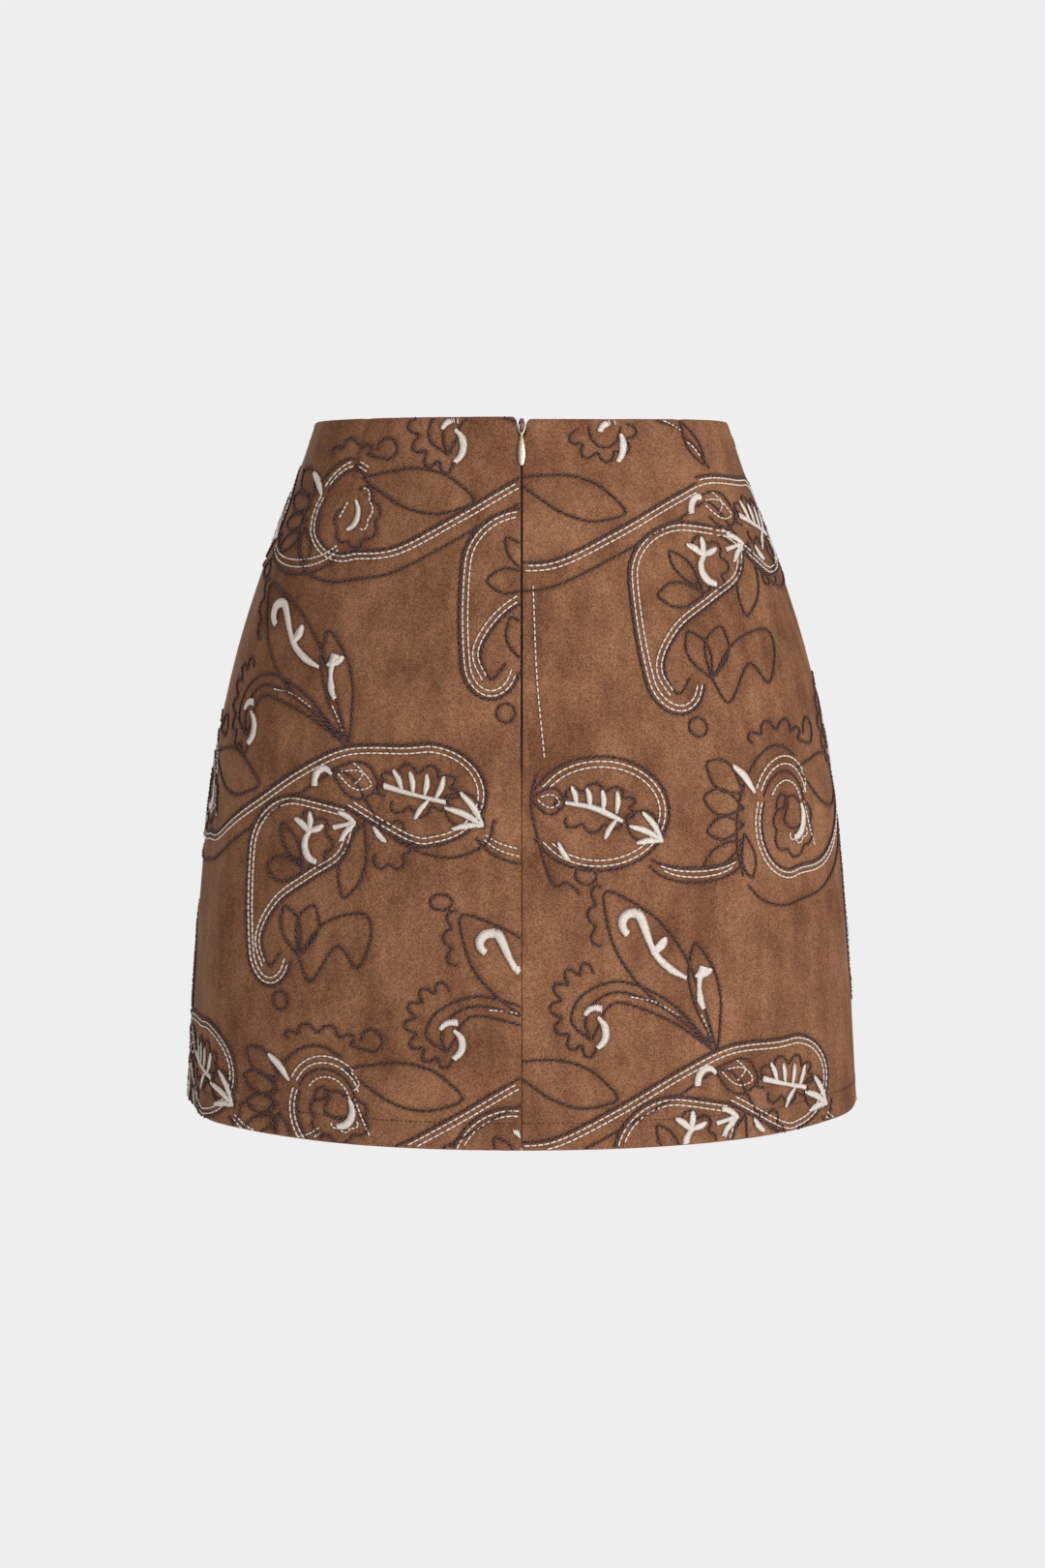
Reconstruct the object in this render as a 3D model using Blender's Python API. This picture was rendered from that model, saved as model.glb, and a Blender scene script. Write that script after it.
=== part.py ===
"""A-line mini skirt with a concealed zip at the centre back, filled out as when worn.

Metres, +Z up. The origin is the centre of the waist opening, in the plane of the top edge. The back, with its zip,
faces -Y, and the wearer's right side is +X. Every cloth piece is a wall between two skins read from one loft.
"""

import math
from collections import namedtuple

import bmesh
import bpy
from mathutils import Matrix, Vector

MM = 0.001

LENGTH = 385 * MM  # waist edge to hem edge, down the centre back
WALL = 1.5 * MM  # faux suede and its backing
HEM_DEPTH = 14.5 * MM  # hem turned up once
HEM_WALL = 2.7 * MM  # two layers of cloth in the turned hem
HEM_STEP = 1.0 * MM  # over which the wall thickens at the hem's top
HEM_ROLL = 1.2 * MM  # height of the rolled lower edge
HEM_ROLL_IN = 0.6 * MM  # how much thinner the wall is there
SEAM_GAP = 0.3 * MM
ROUNDNESS = 2.15  # exponent of the plan curve: 2 is an ellipse, more is squarer
RIGHT_TOP_STEP = 1.2 * MM  # the right back panel is sewn this much lower at the zip

ZIP_LENGTH = 172 * MM
ZIP_GAP = 1.5 * MM  # between the folded edges over the chain
ZIP_FADE = 30 * MM  # below the zip the edges close up over this length
TAPE_WIDTH = 12 * MM
TAPE_WALL = 1.0 * MM
TAPE_END = 12 * MM  # tape left below the last tooth
CHAIN_HALF = 1.8 * MM
CHAIN_DEPTH = 1.6 * MM

SLIDER_TOP = 0.8 * MM  # below the waist edge
SLIDER_LENGTH = 8.6 * MM
SLIDER_HALF = 2.9 * MM
SLIDER_DEPTH = 2.8 * MM
SLIDER_TAPER = 0.7  # width at its lower end over width at its top
SLIDER_BEVEL = 0.5 * MM

BAIL_WIDTH = 1.4 * MM
BAIL_SPAN = 6.0 * MM
BAIL_BAR = 0.7 * MM
BAIL_RISE = 2.45 * MM  # above the cloth
BAIL_ROOT = 0.5 * MM  # sunk into the slider
BAIL_BEVEL = 0.35 * MM
PULL_DROP = 5.0 * MM  # waist edge to the pull's pivot
PULL_RISE = 0.9 * MM  # cloth to the pull's pivot
PULL_LENGTH = 21.7 * MM  # pivot to tip
PULL_THICK = 0.9 * MM
PULL_EDGE = 0.2 * MM  # rounding of its rim
PULL_BAR = 0.45 * MM  # half the cross bar that turns in the bail
PULL_EYE = 3.8 * MM  # pivot to the far end of the eye
PULL_EYE_ROUND = 0.9 * MM  # height of the eye's round end
PULL_EYE_HALF = 1.05 * MM

# The loft: a plan curve at each drop below the waist, with its reach to the side, the back and the front, in mm.
Section = namedtuple("Section", "drop half_width back_depth front_depth")
SECTIONS = [
    Section(0, 116.0, 84, 86),
    Section(30, 126.4, 90, 91),
    Section(60, 138.2, 98, 96),
    Section(95, 151.1, 109, 101),
    Section(130, 161.9, 119, 105),
    Section(170, 171.2, 128, 108),
    Section(210, 178.0, 132, 111),
    Section(260, 183.7, 135, 115),
    Section(320, 188.7, 138, 120),
    Section(385, 192.8, 141, 124),
]

# Soft vertical folds. angle and width are degrees round the skirt, 0 at centre back and positive to the wearer's
# right. drift is how far the fold wanders by the hem. It swells from start to full and keeps its height, in mm,
# to the hem, or sinks again by end. A height below 0 is a trough.
Fold = namedtuple("Fold", "angle drift width start full end height")
FOLDS = [
    Fold(-62, -5, 6, 110, 230, 999, 1.8),
    Fold(-75, -4, 6, 120, 260, 999, -1.9),
    Fold(-47, -3, 8, 170, 330, 999, -0.9),
    Fold(67, -4, 6, 40, 90, 190, 1.2),
    Fold(73, 2, 6, 190, 300, 999, 1.4),
    Fold(61, 2, 7, 170, 320, 999, -1.0),
    Fold(112, 4, 8, 100, 270, 999, 1.7),
    Fold(128, 3, 8, 150, 300, 999, -1.4),
    Fold(-108, -3, 7, 120, 250, 999, 1.5),
    Fold(-124, -5, 9, 90, 260, 999, -1.6),
    Fold(152, 3, 9, 210, 340, 999, 1.1),
    Fold(-155, -2, 9, 190, 330, 999, 1.2),
]

# Waist darts: a narrow crease from the waist that fades out at its point, in mm and degrees.
Dart = namedtuple("Dart", "angle lean length depth half_angle")
DARTS = [
    Dart(-54, -1.0, 62, 0.9, 2.0),
    Dart(55, 2.0, 66, 0.9, 2.0),
    Dart(-133, 1.0, 84, 0.9, 2.0),
    Dart(133, -1.0, 84, 0.9, 2.0),
]

# Half the opening between the back panels' edges near the waist, where the slider shows. Drop and half in mm.
Notch = namedtuple("Notch", "drop half")
NOTCH = [
    Notch(0, 4.4),
    Notch(1.2, 3.3),
    Notch(2.6, 2.6),
    Notch(4.4, 2.3),
    Notch(8, 2.1),
    Notch(10.5, 1.3),
    Notch(13, 0.75),
]

ROW_STEP = 16 * MM  # between rows of a panel, below the notch
COLUMN_ANGLE = 5.0  # degrees between columns of a panel
DART_CLEAR = 1.2  # degrees kept free of other columns beside a dart
EDGE_ANGLE = 3.4  # the first column inside the zip edge

COLOURS = {
    "suede": (0.235, 0.107, 0.056, 1),
    "tape": (0.085, 0.045, 0.03, 1),
    "chain": (0.06, 0.035, 0.028, 1),
    "brass": (0.45, 0.37, 0.26, 1),
}


def smoothstep(low, high, value):
    t = min(max((value - low) / (high - low), 0.0), 1.0)
    return t * t * (3 - 2 * t)


def read_table(rows, drop, field):
    """The table's field at this drop, on a smooth curve through its rows. Drop and result are in metres."""
    xs = [row.drop * MM for row in rows]
    ys = [getattr(row, field) * MM for row in rows]
    last = len(xs) - 1
    i = min(max(sum(x <= drop for x in xs) - 1, 0), last - 1)

    def slope(k):
        a, b = max(k - 1, 0), min(k + 1, last)
        return (ys[b] - ys[a]) / (xs[b] - xs[a])

    step = xs[i + 1] - xs[i]
    t = min(max((drop - xs[i]) / step, 0.0), 1.0)
    return (
        (2 * t**3 - 3 * t**2 + 1) * ys[i]
        + (t**3 - 2 * t**2 + t) * step * slope(i)
        + (3 * t**2 - 2 * t**3) * ys[i + 1]
        + (t**3 - t**2) * step * slope(i + 1)
    )


def turn_between(a, b):
    return (a - b + 180) % 360 - 180


def relief(angle, drop):
    """How far folds and darts lift the cloth off the loft."""
    lift = 0.0
    for fold in FOLDS:
        grown = smoothstep(fold.start * MM, fold.full * MM, drop)
        kept = 1 - smoothstep(fold.end * MM * 0.6, fold.end * MM, drop)
        off = turn_between(angle, fold.angle + fold.drift * drop / LENGTH) / fold.width
        lift += fold.height * MM * grown * kept * math.exp(-off * off)
    for dart in DARTS:
        left = 1 - smoothstep(0.35 * dart.length * MM, dart.length * MM, drop)
        off = abs(turn_between(angle, dart.angle + dart.lean * drop / (dart.length * MM)))
        lift -= dart.depth * MM * left * max(0.0, 1 - off / dart.half_angle)
    return lift


def loft_point(angle, drop):
    """A point of the plain loft. angle is in degrees from centre back."""
    side = math.sin(math.radians(angle))
    back = math.cos(math.radians(angle))
    depth = read_table(SECTIONS, drop, "back_depth" if back > 0 else "front_depth")
    width = read_table(SECTIONS, drop, "half_width")
    reach = (abs(side / width) ** ROUNDNESS + abs(back / depth) ** ROUNDNESS) ** (-1 / ROUNDNESS)
    return Vector((reach * side, -reach * back, -drop))


def loft_normal(angle, drop):
    turn, step = 0.2, 1 * MM
    across = loft_point(angle + turn, drop) - loft_point(angle - turn, drop)
    low, high = min(drop + step, LENGTH), max(drop - step, 0.0)
    down = loft_point(angle, low) - loft_point(angle, high)
    return down.cross(across).normalized()


def skin(angle, drop, inset=0.0):
    """A point of the skirt's outer face, or inset from it into the wall."""
    return loft_point(angle, drop) + loft_normal(angle, drop) * (relief(angle, drop) - inset)


def angle_at(x, drop):
    """The angle at which the back face lies this far to the side of the centre."""
    return math.degrees(math.asin(x / read_table(SECTIONS, drop, "back_depth")))


def zip_edge(drop):
    """Half the gap between the back panels at this drop."""
    if drop < NOTCH[-1].drop * MM:
        return read_table(NOTCH, drop, "half")
    closed = smoothstep(ZIP_LENGTH, ZIP_LENGTH + ZIP_FADE, drop)
    return (ZIP_GAP * (1 - closed) + SEAM_GAP * closed) / 2


def side_angle(drop):
    """The angle of a back panel's side edge, half a seam gap short of the side."""
    return 90 - math.degrees(SEAM_GAP / 2 / read_table(SECTIONS, drop, "half_width"))


def panel_drops():
    rows = [row.drop * MM for row in NOTCH]
    body = LENGTH - HEM_DEPTH - rows[-1]
    count = round(body / ROW_STEP)
    rows += [rows[-1] + body * (k + 1) / count for k in range(count)]
    return rows + [rows[-1] + HEM_STEP, LENGTH - HEM_ROLL, LENGTH]


def panel_wall(drop):
    if drop < LENGTH - HEM_DEPTH + HEM_STEP / 2:
        return WALL
    return HEM_WALL - HEM_ROLL_IN * smoothstep(LENGTH - HEM_ROLL, LENGTH, drop)


def panel_angles(start, end):
    """Even columns between two angles, with three more on each dart."""
    count = max(2, round((end - start) / COLUMN_ANGLE))
    angles = [start + (end - start) * k / count for k in range(count + 1)]
    for dart in DARTS:
        middle = start + (dart.angle - start) % 360
        if middle < end:
            clear = dart.half_angle + DART_CLEAR
            angles = [a for a in angles if abs(a - middle) > clear]
            angles += [middle + side * dart.half_angle for side in (-1, 0, 1)]
    return sorted(angles)


def material(name):
    """Shared by every piece of one stuff."""
    made = bpy.data.materials.get(name)
    if made is None:
        made = bpy.data.materials.new(name)
        made.use_nodes = True
        shader = made.node_tree.nodes["Principled BSDF"]
        shader.inputs["Base Color"].default_value = COLOURS[name]
        shader.inputs["Roughness"].default_value = 0.35 if name == "brass" else 0.9
        shader.inputs["Metallic"].default_value = 1.0 if name == "brass" else 0.0
        made.diffuse_color = COLOURS[name]
    return made


def add_object(name, bm, stuff, collection):
    mesh = bpy.data.meshes.new(name)
    bm.to_mesh(mesh)
    bm.free()
    mesh.shade_smooth()
    mesh.set_sharp_from_angle(angle=math.radians(40))
    mesh.materials.append(material(stuff))
    made = bpy.data.objects.new(name, mesh)
    collection.objects.link(made)
    return made


def wall_piece(name, columns, drops, outer, inner, stuff, collection):
    """A closed wall over a grid. columns gives each column's angle at a drop, and outer and inner its two insets."""
    bm = bmesh.new()
    bmesh.ops.create_grid(bm, x_segments=len(columns) - 1, y_segments=len(drops) - 1, size=0.5)
    bm.verts.ensure_lookup_table()
    bm.faces.ensure_lookup_table()
    face_out = list(bm.verts)
    rim = [edge for edge in bm.edges if edge.is_boundary]
    skin_faces = list(bm.faces)
    face_in = {}
    for vert in face_out:
        column = round((vert.co.x + 0.5) * (len(columns) - 1))
        row = round((0.5 - vert.co.y) * (len(drops) - 1))
        drop = drops[row]
        angle = columns[column](drop)
        vert.co = top_line(skin(angle, drop, outer(drop)), angle, drop)
        face_in[vert] = bm.verts.new(top_line(skin(angle, drop, inner(drop)), angle, drop))
    for face in skin_faces:
        bm.faces.new([face_in[v] for v in reversed(face.verts)])
    for edge in rim:
        a, b = edge.verts
        bm.faces.new((a, b, face_in[b], face_in[a]))
    bmesh.ops.recalc_face_normals(bm, faces=bm.faces)
    return add_object(name, bm, stuff, collection)


def top_line(point, angle, drop):
    """Lowers the right back panel's top edge at the zip."""
    if 0 < angle < 90:
        near = 1 - smoothstep(20, 75, angle)
        point.z -= RIGHT_TOP_STEP * near * (1 - smoothstep(0, 60 * MM, drop))
    return point


def fixed(angle):
    return lambda drop: angle


def make_front(collection):
    columns = [fixed(angle) for angle in panel_angles(90, 270)]
    columns[0] = lambda drop: 180 - side_angle(drop)
    columns[-1] = lambda drop: 180 + side_angle(drop)
    wall_piece("front_panel", columns, panel_drops(), lambda drop: 0.0, panel_wall, "suede", collection)


def make_back(name, side, collection):
    """side is -1 for the left panel and 1 for the right."""
    start, end = sorted((side * EDGE_ANGLE, side * 90))
    columns = [fixed(angle) for angle in sorted(panel_angles(start, end), key=abs)]
    columns[-1] = lambda drop: side * side_angle(drop)
    columns.insert(0, lambda drop: side * angle_at(zip_edge(drop), drop))
    wall_piece(name, columns, panel_drops(), lambda drop: 0.0, panel_wall, "suede", collection)


def make_zip_strips(collection):
    behind = WALL + SEAM_GAP
    clear_of_slider = SLIDER_HALF + SEAM_GAP
    beside_chain = CHAIN_HALF + SEAM_GAP
    neck = SLIDER_TOP + SLIDER_LENGTH + SEAM_GAP

    def tape_edge(drop):
        return beside_chain + (clear_of_slider - beside_chain) * (1 - smoothstep(neck, neck + 2 * MM, drop))

    rows = [1.5 * MM, neck, neck + 2 * MM]
    count = round((ZIP_LENGTH + TAPE_END - rows[-1]) / ROW_STEP)
    step = (ZIP_LENGTH + TAPE_END - rows[-1]) / count
    rows += [rows[-1] + step * (k + 1) for k in range(count)]
    for name, side in (("zip_tape_left", -1), ("zip_tape_right", 1)):
        edges = (
            lambda drop, side=side: side * angle_at(tape_edge(drop), drop),
            lambda drop, side=side: side * angle_at(CHAIN_HALF + TAPE_WIDTH / 2, drop),
            lambda drop, side=side: side * angle_at(CHAIN_HALF + TAPE_WIDTH, drop),
        )
        wall_piece(
            name,
            edges,
            rows,
            lambda drop: behind,
            lambda drop: behind + TAPE_WALL,
            "tape",
            collection,
        )

    chain_rows = [neck + (ZIP_LENGTH - neck) * k / count for k in range(count + 1)]
    across = [lambda drop, x=x: angle_at(x, drop) for x in (-CHAIN_HALF, 0, CHAIN_HALF)]
    wall_piece(
        "zip_chain",
        across,
        chain_rows,
        lambda drop: behind,
        lambda drop: behind + CHAIN_DEPTH,
        "chain",
        collection,
    )


def pull_frame():
    """Where the pull lies at rest: its pivot, its way down along the cloth and its way out from the cloth."""
    top, tip = skin(0, PULL_DROP), skin(0, PULL_DROP + PULL_LENGTH)
    down = (tip - top).normalized()
    out = Vector((1, 0, 0)).cross(down).normalized()
    out = out if out.y < 0 else -out
    return top + out * PULL_RISE, down, out


def frame_matrix(origin, down, out):
    """Local x is across, local y is down the cloth and local z is out from it."""
    across = down.cross(out)
    return Matrix.Translation(origin) @ Matrix((across, down, out)).transposed().to_4x4()


def box(size, centre, bevel=0.0, taper=1.0):
    """A cube shaped to a size, with its lower end narrowed and its edges rounded."""
    bm = bmesh.new()
    bmesh.ops.create_cube(bm, size=1.0)
    for vert in bm.verts:
        narrow = taper if vert.co.y > 0 else 1.0
        vert.co = Vector((vert.co.x * size[0] * narrow, vert.co.y * size[1], vert.co.z * size[2])) + Vector(centre)
    if bevel:
        bmesh.ops.bevel(bm, geom=list(bm.edges), offset=bevel, segments=2, affect="EDGES", profile=0.5)
    return bm


def add_boolean(target, tool, operation):
    cut = target.modifiers.new(tool.name, "BOOLEAN")
    cut.operation = operation
    cut.object = tool
    tool.hide_render = True
    tool.display_type = "WIRE"


def make_slider(collection, helpers):
    """The slider behind the panels' edges, with the bail that stands out through the notch."""
    pivot, down, out = pull_frame()
    place = frame_matrix(pivot, down, out)
    face = -PULL_RISE - WALL - SEAM_GAP  # the slider's outer face, behind the cloth
    middle = SLIDER_TOP + SLIDER_LENGTH / 2 - PULL_DROP
    size = (2 * SLIDER_HALF, SLIDER_LENGTH, SLIDER_DEPTH)
    body = box(size, (0, middle, face - SLIDER_DEPTH / 2), SLIDER_BEVEL, SLIDER_TAPER)
    slider = add_object("zip_slider", body, "brass", collection)

    top, foot = BAIL_RISE - PULL_RISE, face - BAIL_ROOT
    bail_size = (BAIL_WIDTH, BAIL_SPAN, top - foot)
    bail = add_object("bail_shape", box(bail_size, (0, 0, (top + foot) / 2), BAIL_BEVEL), "brass", helpers)
    window_top, window_foot = top - BAIL_BAR, face
    window_size = (BAIL_WIDTH * 2, BAIL_SPAN - 2 * BAIL_BAR, window_top - window_foot)
    window = add_object("bail_window", box(window_size, (0, 0, (window_top + window_foot) / 2)), "brass", helpers)
    add_boolean(bail, window, "DIFFERENCE")
    add_boolean(slider, bail, "UNION")
    for made in (slider, bail, window):
        made.matrix_world = place


# The pull's outline on one side: distance below the pivot and half width, in mm.
Outline = namedtuple("Outline", "down half")
PULL_OUTLINE = [
    Outline(-0.45, 1.3),
    Outline(0.3, 1.9),
    Outline(3.2, 1.9),
    Outline(5.2, 1.25),
    Outline(9.5, 1.75),
    Outline(14.5, 2.2),
    Outline(18.5, 1.9),
    Outline(20.8, 1.1),
    Outline(21.7, 0.0),
]


def make_pull(collection):
    """A flat leaf with an eye. Its origin is on the pivot, which runs across the pull's cross bar."""
    rows = PULL_OUTLINE
    samples = 20
    side = []
    for k in range(samples + 1):
        t = (len(rows) - 1) * k / samples
        i = min(int(t), len(rows) - 2)
        f = t - i
        before, a, b, after = (rows[min(max(i + d, 0), len(rows) - 1)] for d in (-1, 0, 1, 2))

        def spline(p, q, r, s, f=f):
            return 0.5 * (2 * q + (r - p) * f + (2 * p - 5 * q + 4 * r - s) * f**2 + (3 * q - p - 3 * r + s) * f**3)

        down = spline(before.down, a.down, b.down, after.down)
        half = spline(before.half, a.half, b.half, after.half)
        side.append((max(half, 0.0) * MM, down * MM))
    outer = side + [(-x, y) for x, y in reversed(side[:-1])]
    eye = [
        (PULL_EYE_HALF * x, y)
        for x, y in (
            (-1.0, PULL_BAR),
            (-1.0, PULL_EYE - PULL_EYE_ROUND),
            (-0.6, PULL_EYE - PULL_EYE_ROUND / 5),
            (0.0, PULL_EYE),
            (0.6, PULL_EYE - PULL_EYE_ROUND / 5),
            (1.0, PULL_EYE - PULL_EYE_ROUND),
            (1.0, PULL_BAR),
        )
    ]
    curve = bpy.data.curves.new("zip_pull", "CURVE")
    curve.dimensions = "2D"
    curve.fill_mode = "BOTH"
    curve.bevel_depth = PULL_EDGE
    curve.bevel_resolution = 1
    curve.offset = -PULL_EDGE
    curve.extrude = PULL_THICK / 2 - PULL_EDGE
    for points in (outer, eye):
        spline = curve.splines.new("POLY")
        spline.points.add(len(points) - 1)
        spline.use_cyclic_u = True
        for point, (x, y) in zip(spline.points, points):
            point.co = (x, y, 0, 1)
    curve.materials.append(material("brass"))
    pull = bpy.data.objects.new("zip_pull", curve)
    collection.objects.link(pull)
    pull.matrix_world = frame_matrix(*pull_frame())
    return pull


def new_collection(name):
    made = bpy.data.collections.new(name)
    bpy.context.scene.collection.children.link(made)
    return made


def main():
    for old in list(bpy.data.objects):
        bpy.data.objects.remove(old)
    bpy.context.scene.unit_settings.system = "METRIC"
    skirt = new_collection("mini_skirt")
    helpers = new_collection("mini_skirt_helpers")
    make_front(skirt)
    make_back("back_left_panel", -1, skirt)
    make_back("back_right_panel", 1, skirt)
    make_zip_strips(skirt)
    make_slider(skirt, helpers)
    pull = make_pull(skirt)
    print("pull pivot", [round(v, 6) for v in pull.matrix_world.translation])


main()
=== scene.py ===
# A-line mini skirt in embroidered faux suede, filled out as when worn and seen from its back.
# The scene is in metres. Helpers on the skirt's form work in millimetres: angle is in degrees round the skirt
# from the centre back, and drop is how far below the waist edge. A chart is the back or the front laid flat:
# x runs along the cloth from its middle line, and downs tell how far down that line each drop lies.
import math

import bpy
import numpy as np
from mathutils import Matrix, Vector
from mathutils.kdtree import KDTree


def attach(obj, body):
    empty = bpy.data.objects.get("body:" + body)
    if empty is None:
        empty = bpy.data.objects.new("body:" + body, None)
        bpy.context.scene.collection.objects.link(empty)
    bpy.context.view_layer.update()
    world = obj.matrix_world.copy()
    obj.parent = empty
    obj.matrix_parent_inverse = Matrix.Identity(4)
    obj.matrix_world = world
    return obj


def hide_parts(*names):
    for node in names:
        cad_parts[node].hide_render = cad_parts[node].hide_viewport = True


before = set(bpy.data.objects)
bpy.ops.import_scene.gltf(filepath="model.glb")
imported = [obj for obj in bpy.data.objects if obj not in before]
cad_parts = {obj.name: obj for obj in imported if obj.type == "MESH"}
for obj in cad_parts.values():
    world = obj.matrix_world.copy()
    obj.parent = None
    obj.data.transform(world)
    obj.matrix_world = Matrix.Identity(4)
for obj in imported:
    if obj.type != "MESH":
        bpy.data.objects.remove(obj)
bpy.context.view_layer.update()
mm = 0.001
print("packed skirt loaded:", len(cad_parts), "nodes")


def linearColour(hexValue):
    parts = [int(hexValue[i : i + 2], 16) / 255 for i in (1, 3, 5)]
    return tuple(c / 12.92 if c <= 0.04045 else ((c + 0.055) / 1.055) ** 2.4 for c in parts) + (1.0,)


def addNode(tree, kind, settings=None, links=None):
    # settings name a property or an input, links name an input and the output that feeds it
    # a Mix node's factor is input 0, its colours are inputs 6 and 7, and its colour comes out at 2
    node = tree.nodes.new("ShaderNode" + kind)
    for name, value in (settings or {}).items():
        if isinstance(name, int) or name in node.inputs:
            node.inputs[name].default_value = value
        else:
            setattr(node, name, value)
    for name, source in (links or {}).items():
        tree.links.new(source, node.inputs[name])
    return node


def newMaterial(name):
    made = bpy.data.materials.new(name)
    made.use_nodes = True
    return made, made.node_tree


def dressShader(material, values, links=None):
    # plain values go straight on the shader's own sockets
    tree = material.node_tree
    shader = tree.nodes["Principled BSDF"]
    for name, value in values.items():
        shader.inputs[name].default_value = value
    for name, source in (links or {}).items():
        tree.links.new(source, shader.inputs[name])
    return material


# camera, lights and floor
view = {
    "back": 1.465, "below": 0.060, "pitchDeg": 5.66, "lens": 58.96, "sensor": 36, "shiftX": 0.0006,
    "nearest": 0.05,
}
cameraData = bpy.data.cameras.new("photoCamera")
cameraData.lens = view["lens"]
cameraData.sensor_width = view["sensor"]
cameraData.shift_x = view["shiftX"]
cameraData.clip_start = view["nearest"]
camera = bpy.data.objects.new("photoCamera", cameraData)
camera.location = (0, -view["back"], -view["below"])
camera.rotation_euler = (math.radians(90 - view["pitchDeg"]), 0, 0)
bpy.context.scene.collection.objects.link(camera)
bpy.context.scene.camera = camera

lampAim = Vector((0, 0, -0.19))  # the middle of the skirt
lamps = {
    "keyRight": {"at": (1.0, -1.4, 0.22), "size": 0.9, "watts": 19.0},
    "fillFront": {"at": (0.15, -2.0, 0.4), "size": 1.6, "watts": 6.6},
    "fillTop": {"at": (0.1, 0.1, 1.3), "size": 1.2, "watts": 3.0},
    "frontOfSkirt": {"at": (-0.8, 1.7, 0.6), "size": 1.2, "watts": 20.0},
}
for lampName, lamp in lamps.items():
    lampData = bpy.data.lights.new(lampName, "AREA")
    lampData.size = lamp["size"]
    lampData.energy = lamp["watts"]
    lampObject = bpy.data.objects.new(lampName, lampData)
    lampObject.location = lamp["at"]
    lampObject.rotation_euler = (lampAim - Vector(lamp["at"])).to_track_quat("-Z", "Y").to_euler()
    bpy.context.scene.collection.objects.link(lampObject)

backdrop = {
    "seen": "#EEEEEE", "lighting": "#D8D2CC", "lightStrength": 0.32, "floorDrop": 0.95, "floorSize": 14.0,
}
bpy.context.scene.view_settings.view_transform = "Standard"
world = bpy.data.worlds.new("paleStudio")
bpy.context.scene.world = world
world.use_nodes = True
worldTree = world.node_tree
worldTree.nodes.clear()
rayKind = addNode(worldTree, "LightPath")
seenWorld = addNode(worldTree, "Background", {"Color": linearColour(backdrop["seen"]), "Strength": 1.0})
litWorld = addNode(worldTree, "Background", {"Color": linearColour(backdrop["lighting"]),
                                             "Strength": backdrop["lightStrength"]})
worldMix = addNode(worldTree, "MixShader", {}, {0: rayKind.outputs["Is Camera Ray"], 1: litWorld.outputs[0],
                                                2: seenWorld.outputs[0]})
addNode(worldTree, "OutputWorld", {}, {"Surface": worldMix.outputs[0]})

bpy.ops.object.select_all(action="DESELECT")
bpy.ops.mesh.primitive_plane_add(size=backdrop["floorSize"], location=(0, 0, -backdrop["floorDrop"]))
floor = bpy.context.object
floor.name = "paleFloor"
bpy.ops.object.transform_apply(location=True, rotation=True, scale=True)
floorMaterial, _ = newMaterial("paleLitFloor")  # opal acrylic sheet, lit evenly from below
dressShader(floorMaterial, {
    "Base Color": (0, 0, 0, 1), "Roughness": 0.9, "Specular IOR Level": 0.0,
    "Emission Color": linearColour(backdrop["seen"]), "Emission Strength": 1.0,
})
floor.data.materials.append(floorMaterial)
print("camera, lights and floor placed")


# the skirt's form, the same loft as its solids
form = {
    "length": 385.0, "roundness": 2.15, "wall": 1.5, "seamGap": 0.3, "hemDepth": 14.5, "hemWall": 2.7,
    "hemStep": 1.0, "hemRoll": 1.2, "hemRollIn": 0.6, "zipLength": 172.0, "zipGap": 1.0, "zipFade": 30.0,
    "dartIntake": 18.0, "foldFades": 0.6, "dartFades": 0.35,
    # the right back panel's top edge sits lower from the first angle to the second, and down to a drop
    "rightTopStep": 1.2, "stepFrom": 20, "stepTo": 75, "stepDrop": 60,
}
# drop, half width, back depth, front depth
sections = np.array([
    (0, 116.0, 84, 86), (30, 126.4, 90, 91), (60, 138.2, 98, 96), (95, 151.1, 109, 101),
    (130, 161.9, 119, 105), (170, 171.2, 128, 108), (210, 178.0, 132, 111), (260, 183.7, 135, 115),
    (320, 188.7, 138, 120), (385, 192.8, 141, 124),
], float)
# angle, drift, width, start, full, end, height; a fold with its end at 999 never fades
folds = [
    (-62, -5, 6, 110, 230, 999, 1.8), (-75, -4, 6, 120, 260, 999, -1.9), (-47, -3, 8, 170, 330, 999, -0.9),
    (67, -4, 6, 40, 90, 190, 1.2), (73, 2, 6, 190, 300, 999, 1.4), (61, 2, 7, 170, 320, 999, -1.0),
    (112, 4, 8, 100, 270, 999, 1.7), (128, 3, 8, 150, 300, 999, -1.4), (-108, -3, 7, 120, 250, 999, 1.5),
    (-124, -5, 9, 90, 260, 999, -1.6), (152, 3, 9, 210, 340, 999, 1.1), (-155, -2, 9, 190, 330, 999, 1.2),
]
# angle, lean, length, depth, half angle
darts = [
    (-54, -1.0, 62, 0.9, 2.0), (55, 2.0, 66, 0.9, 2.0), (-133, 1.0, 84, 0.9, 2.0), (133, -1.0, 84, 0.9, 2.0),
]
# drop, half the opening at the slider
notch = np.array([(0, 4.4), (1.2, 3.3), (2.6, 2.6), (4.4, 2.3), (8, 2.1), (10.5, 1.3), (13, 0.75)], float)


def smoothStep(low, high, value):
    t = np.clip((np.asarray(value, float) - low) / (high - low), 0, 1)
    return t * t * (3 - 2 * t)


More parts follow.
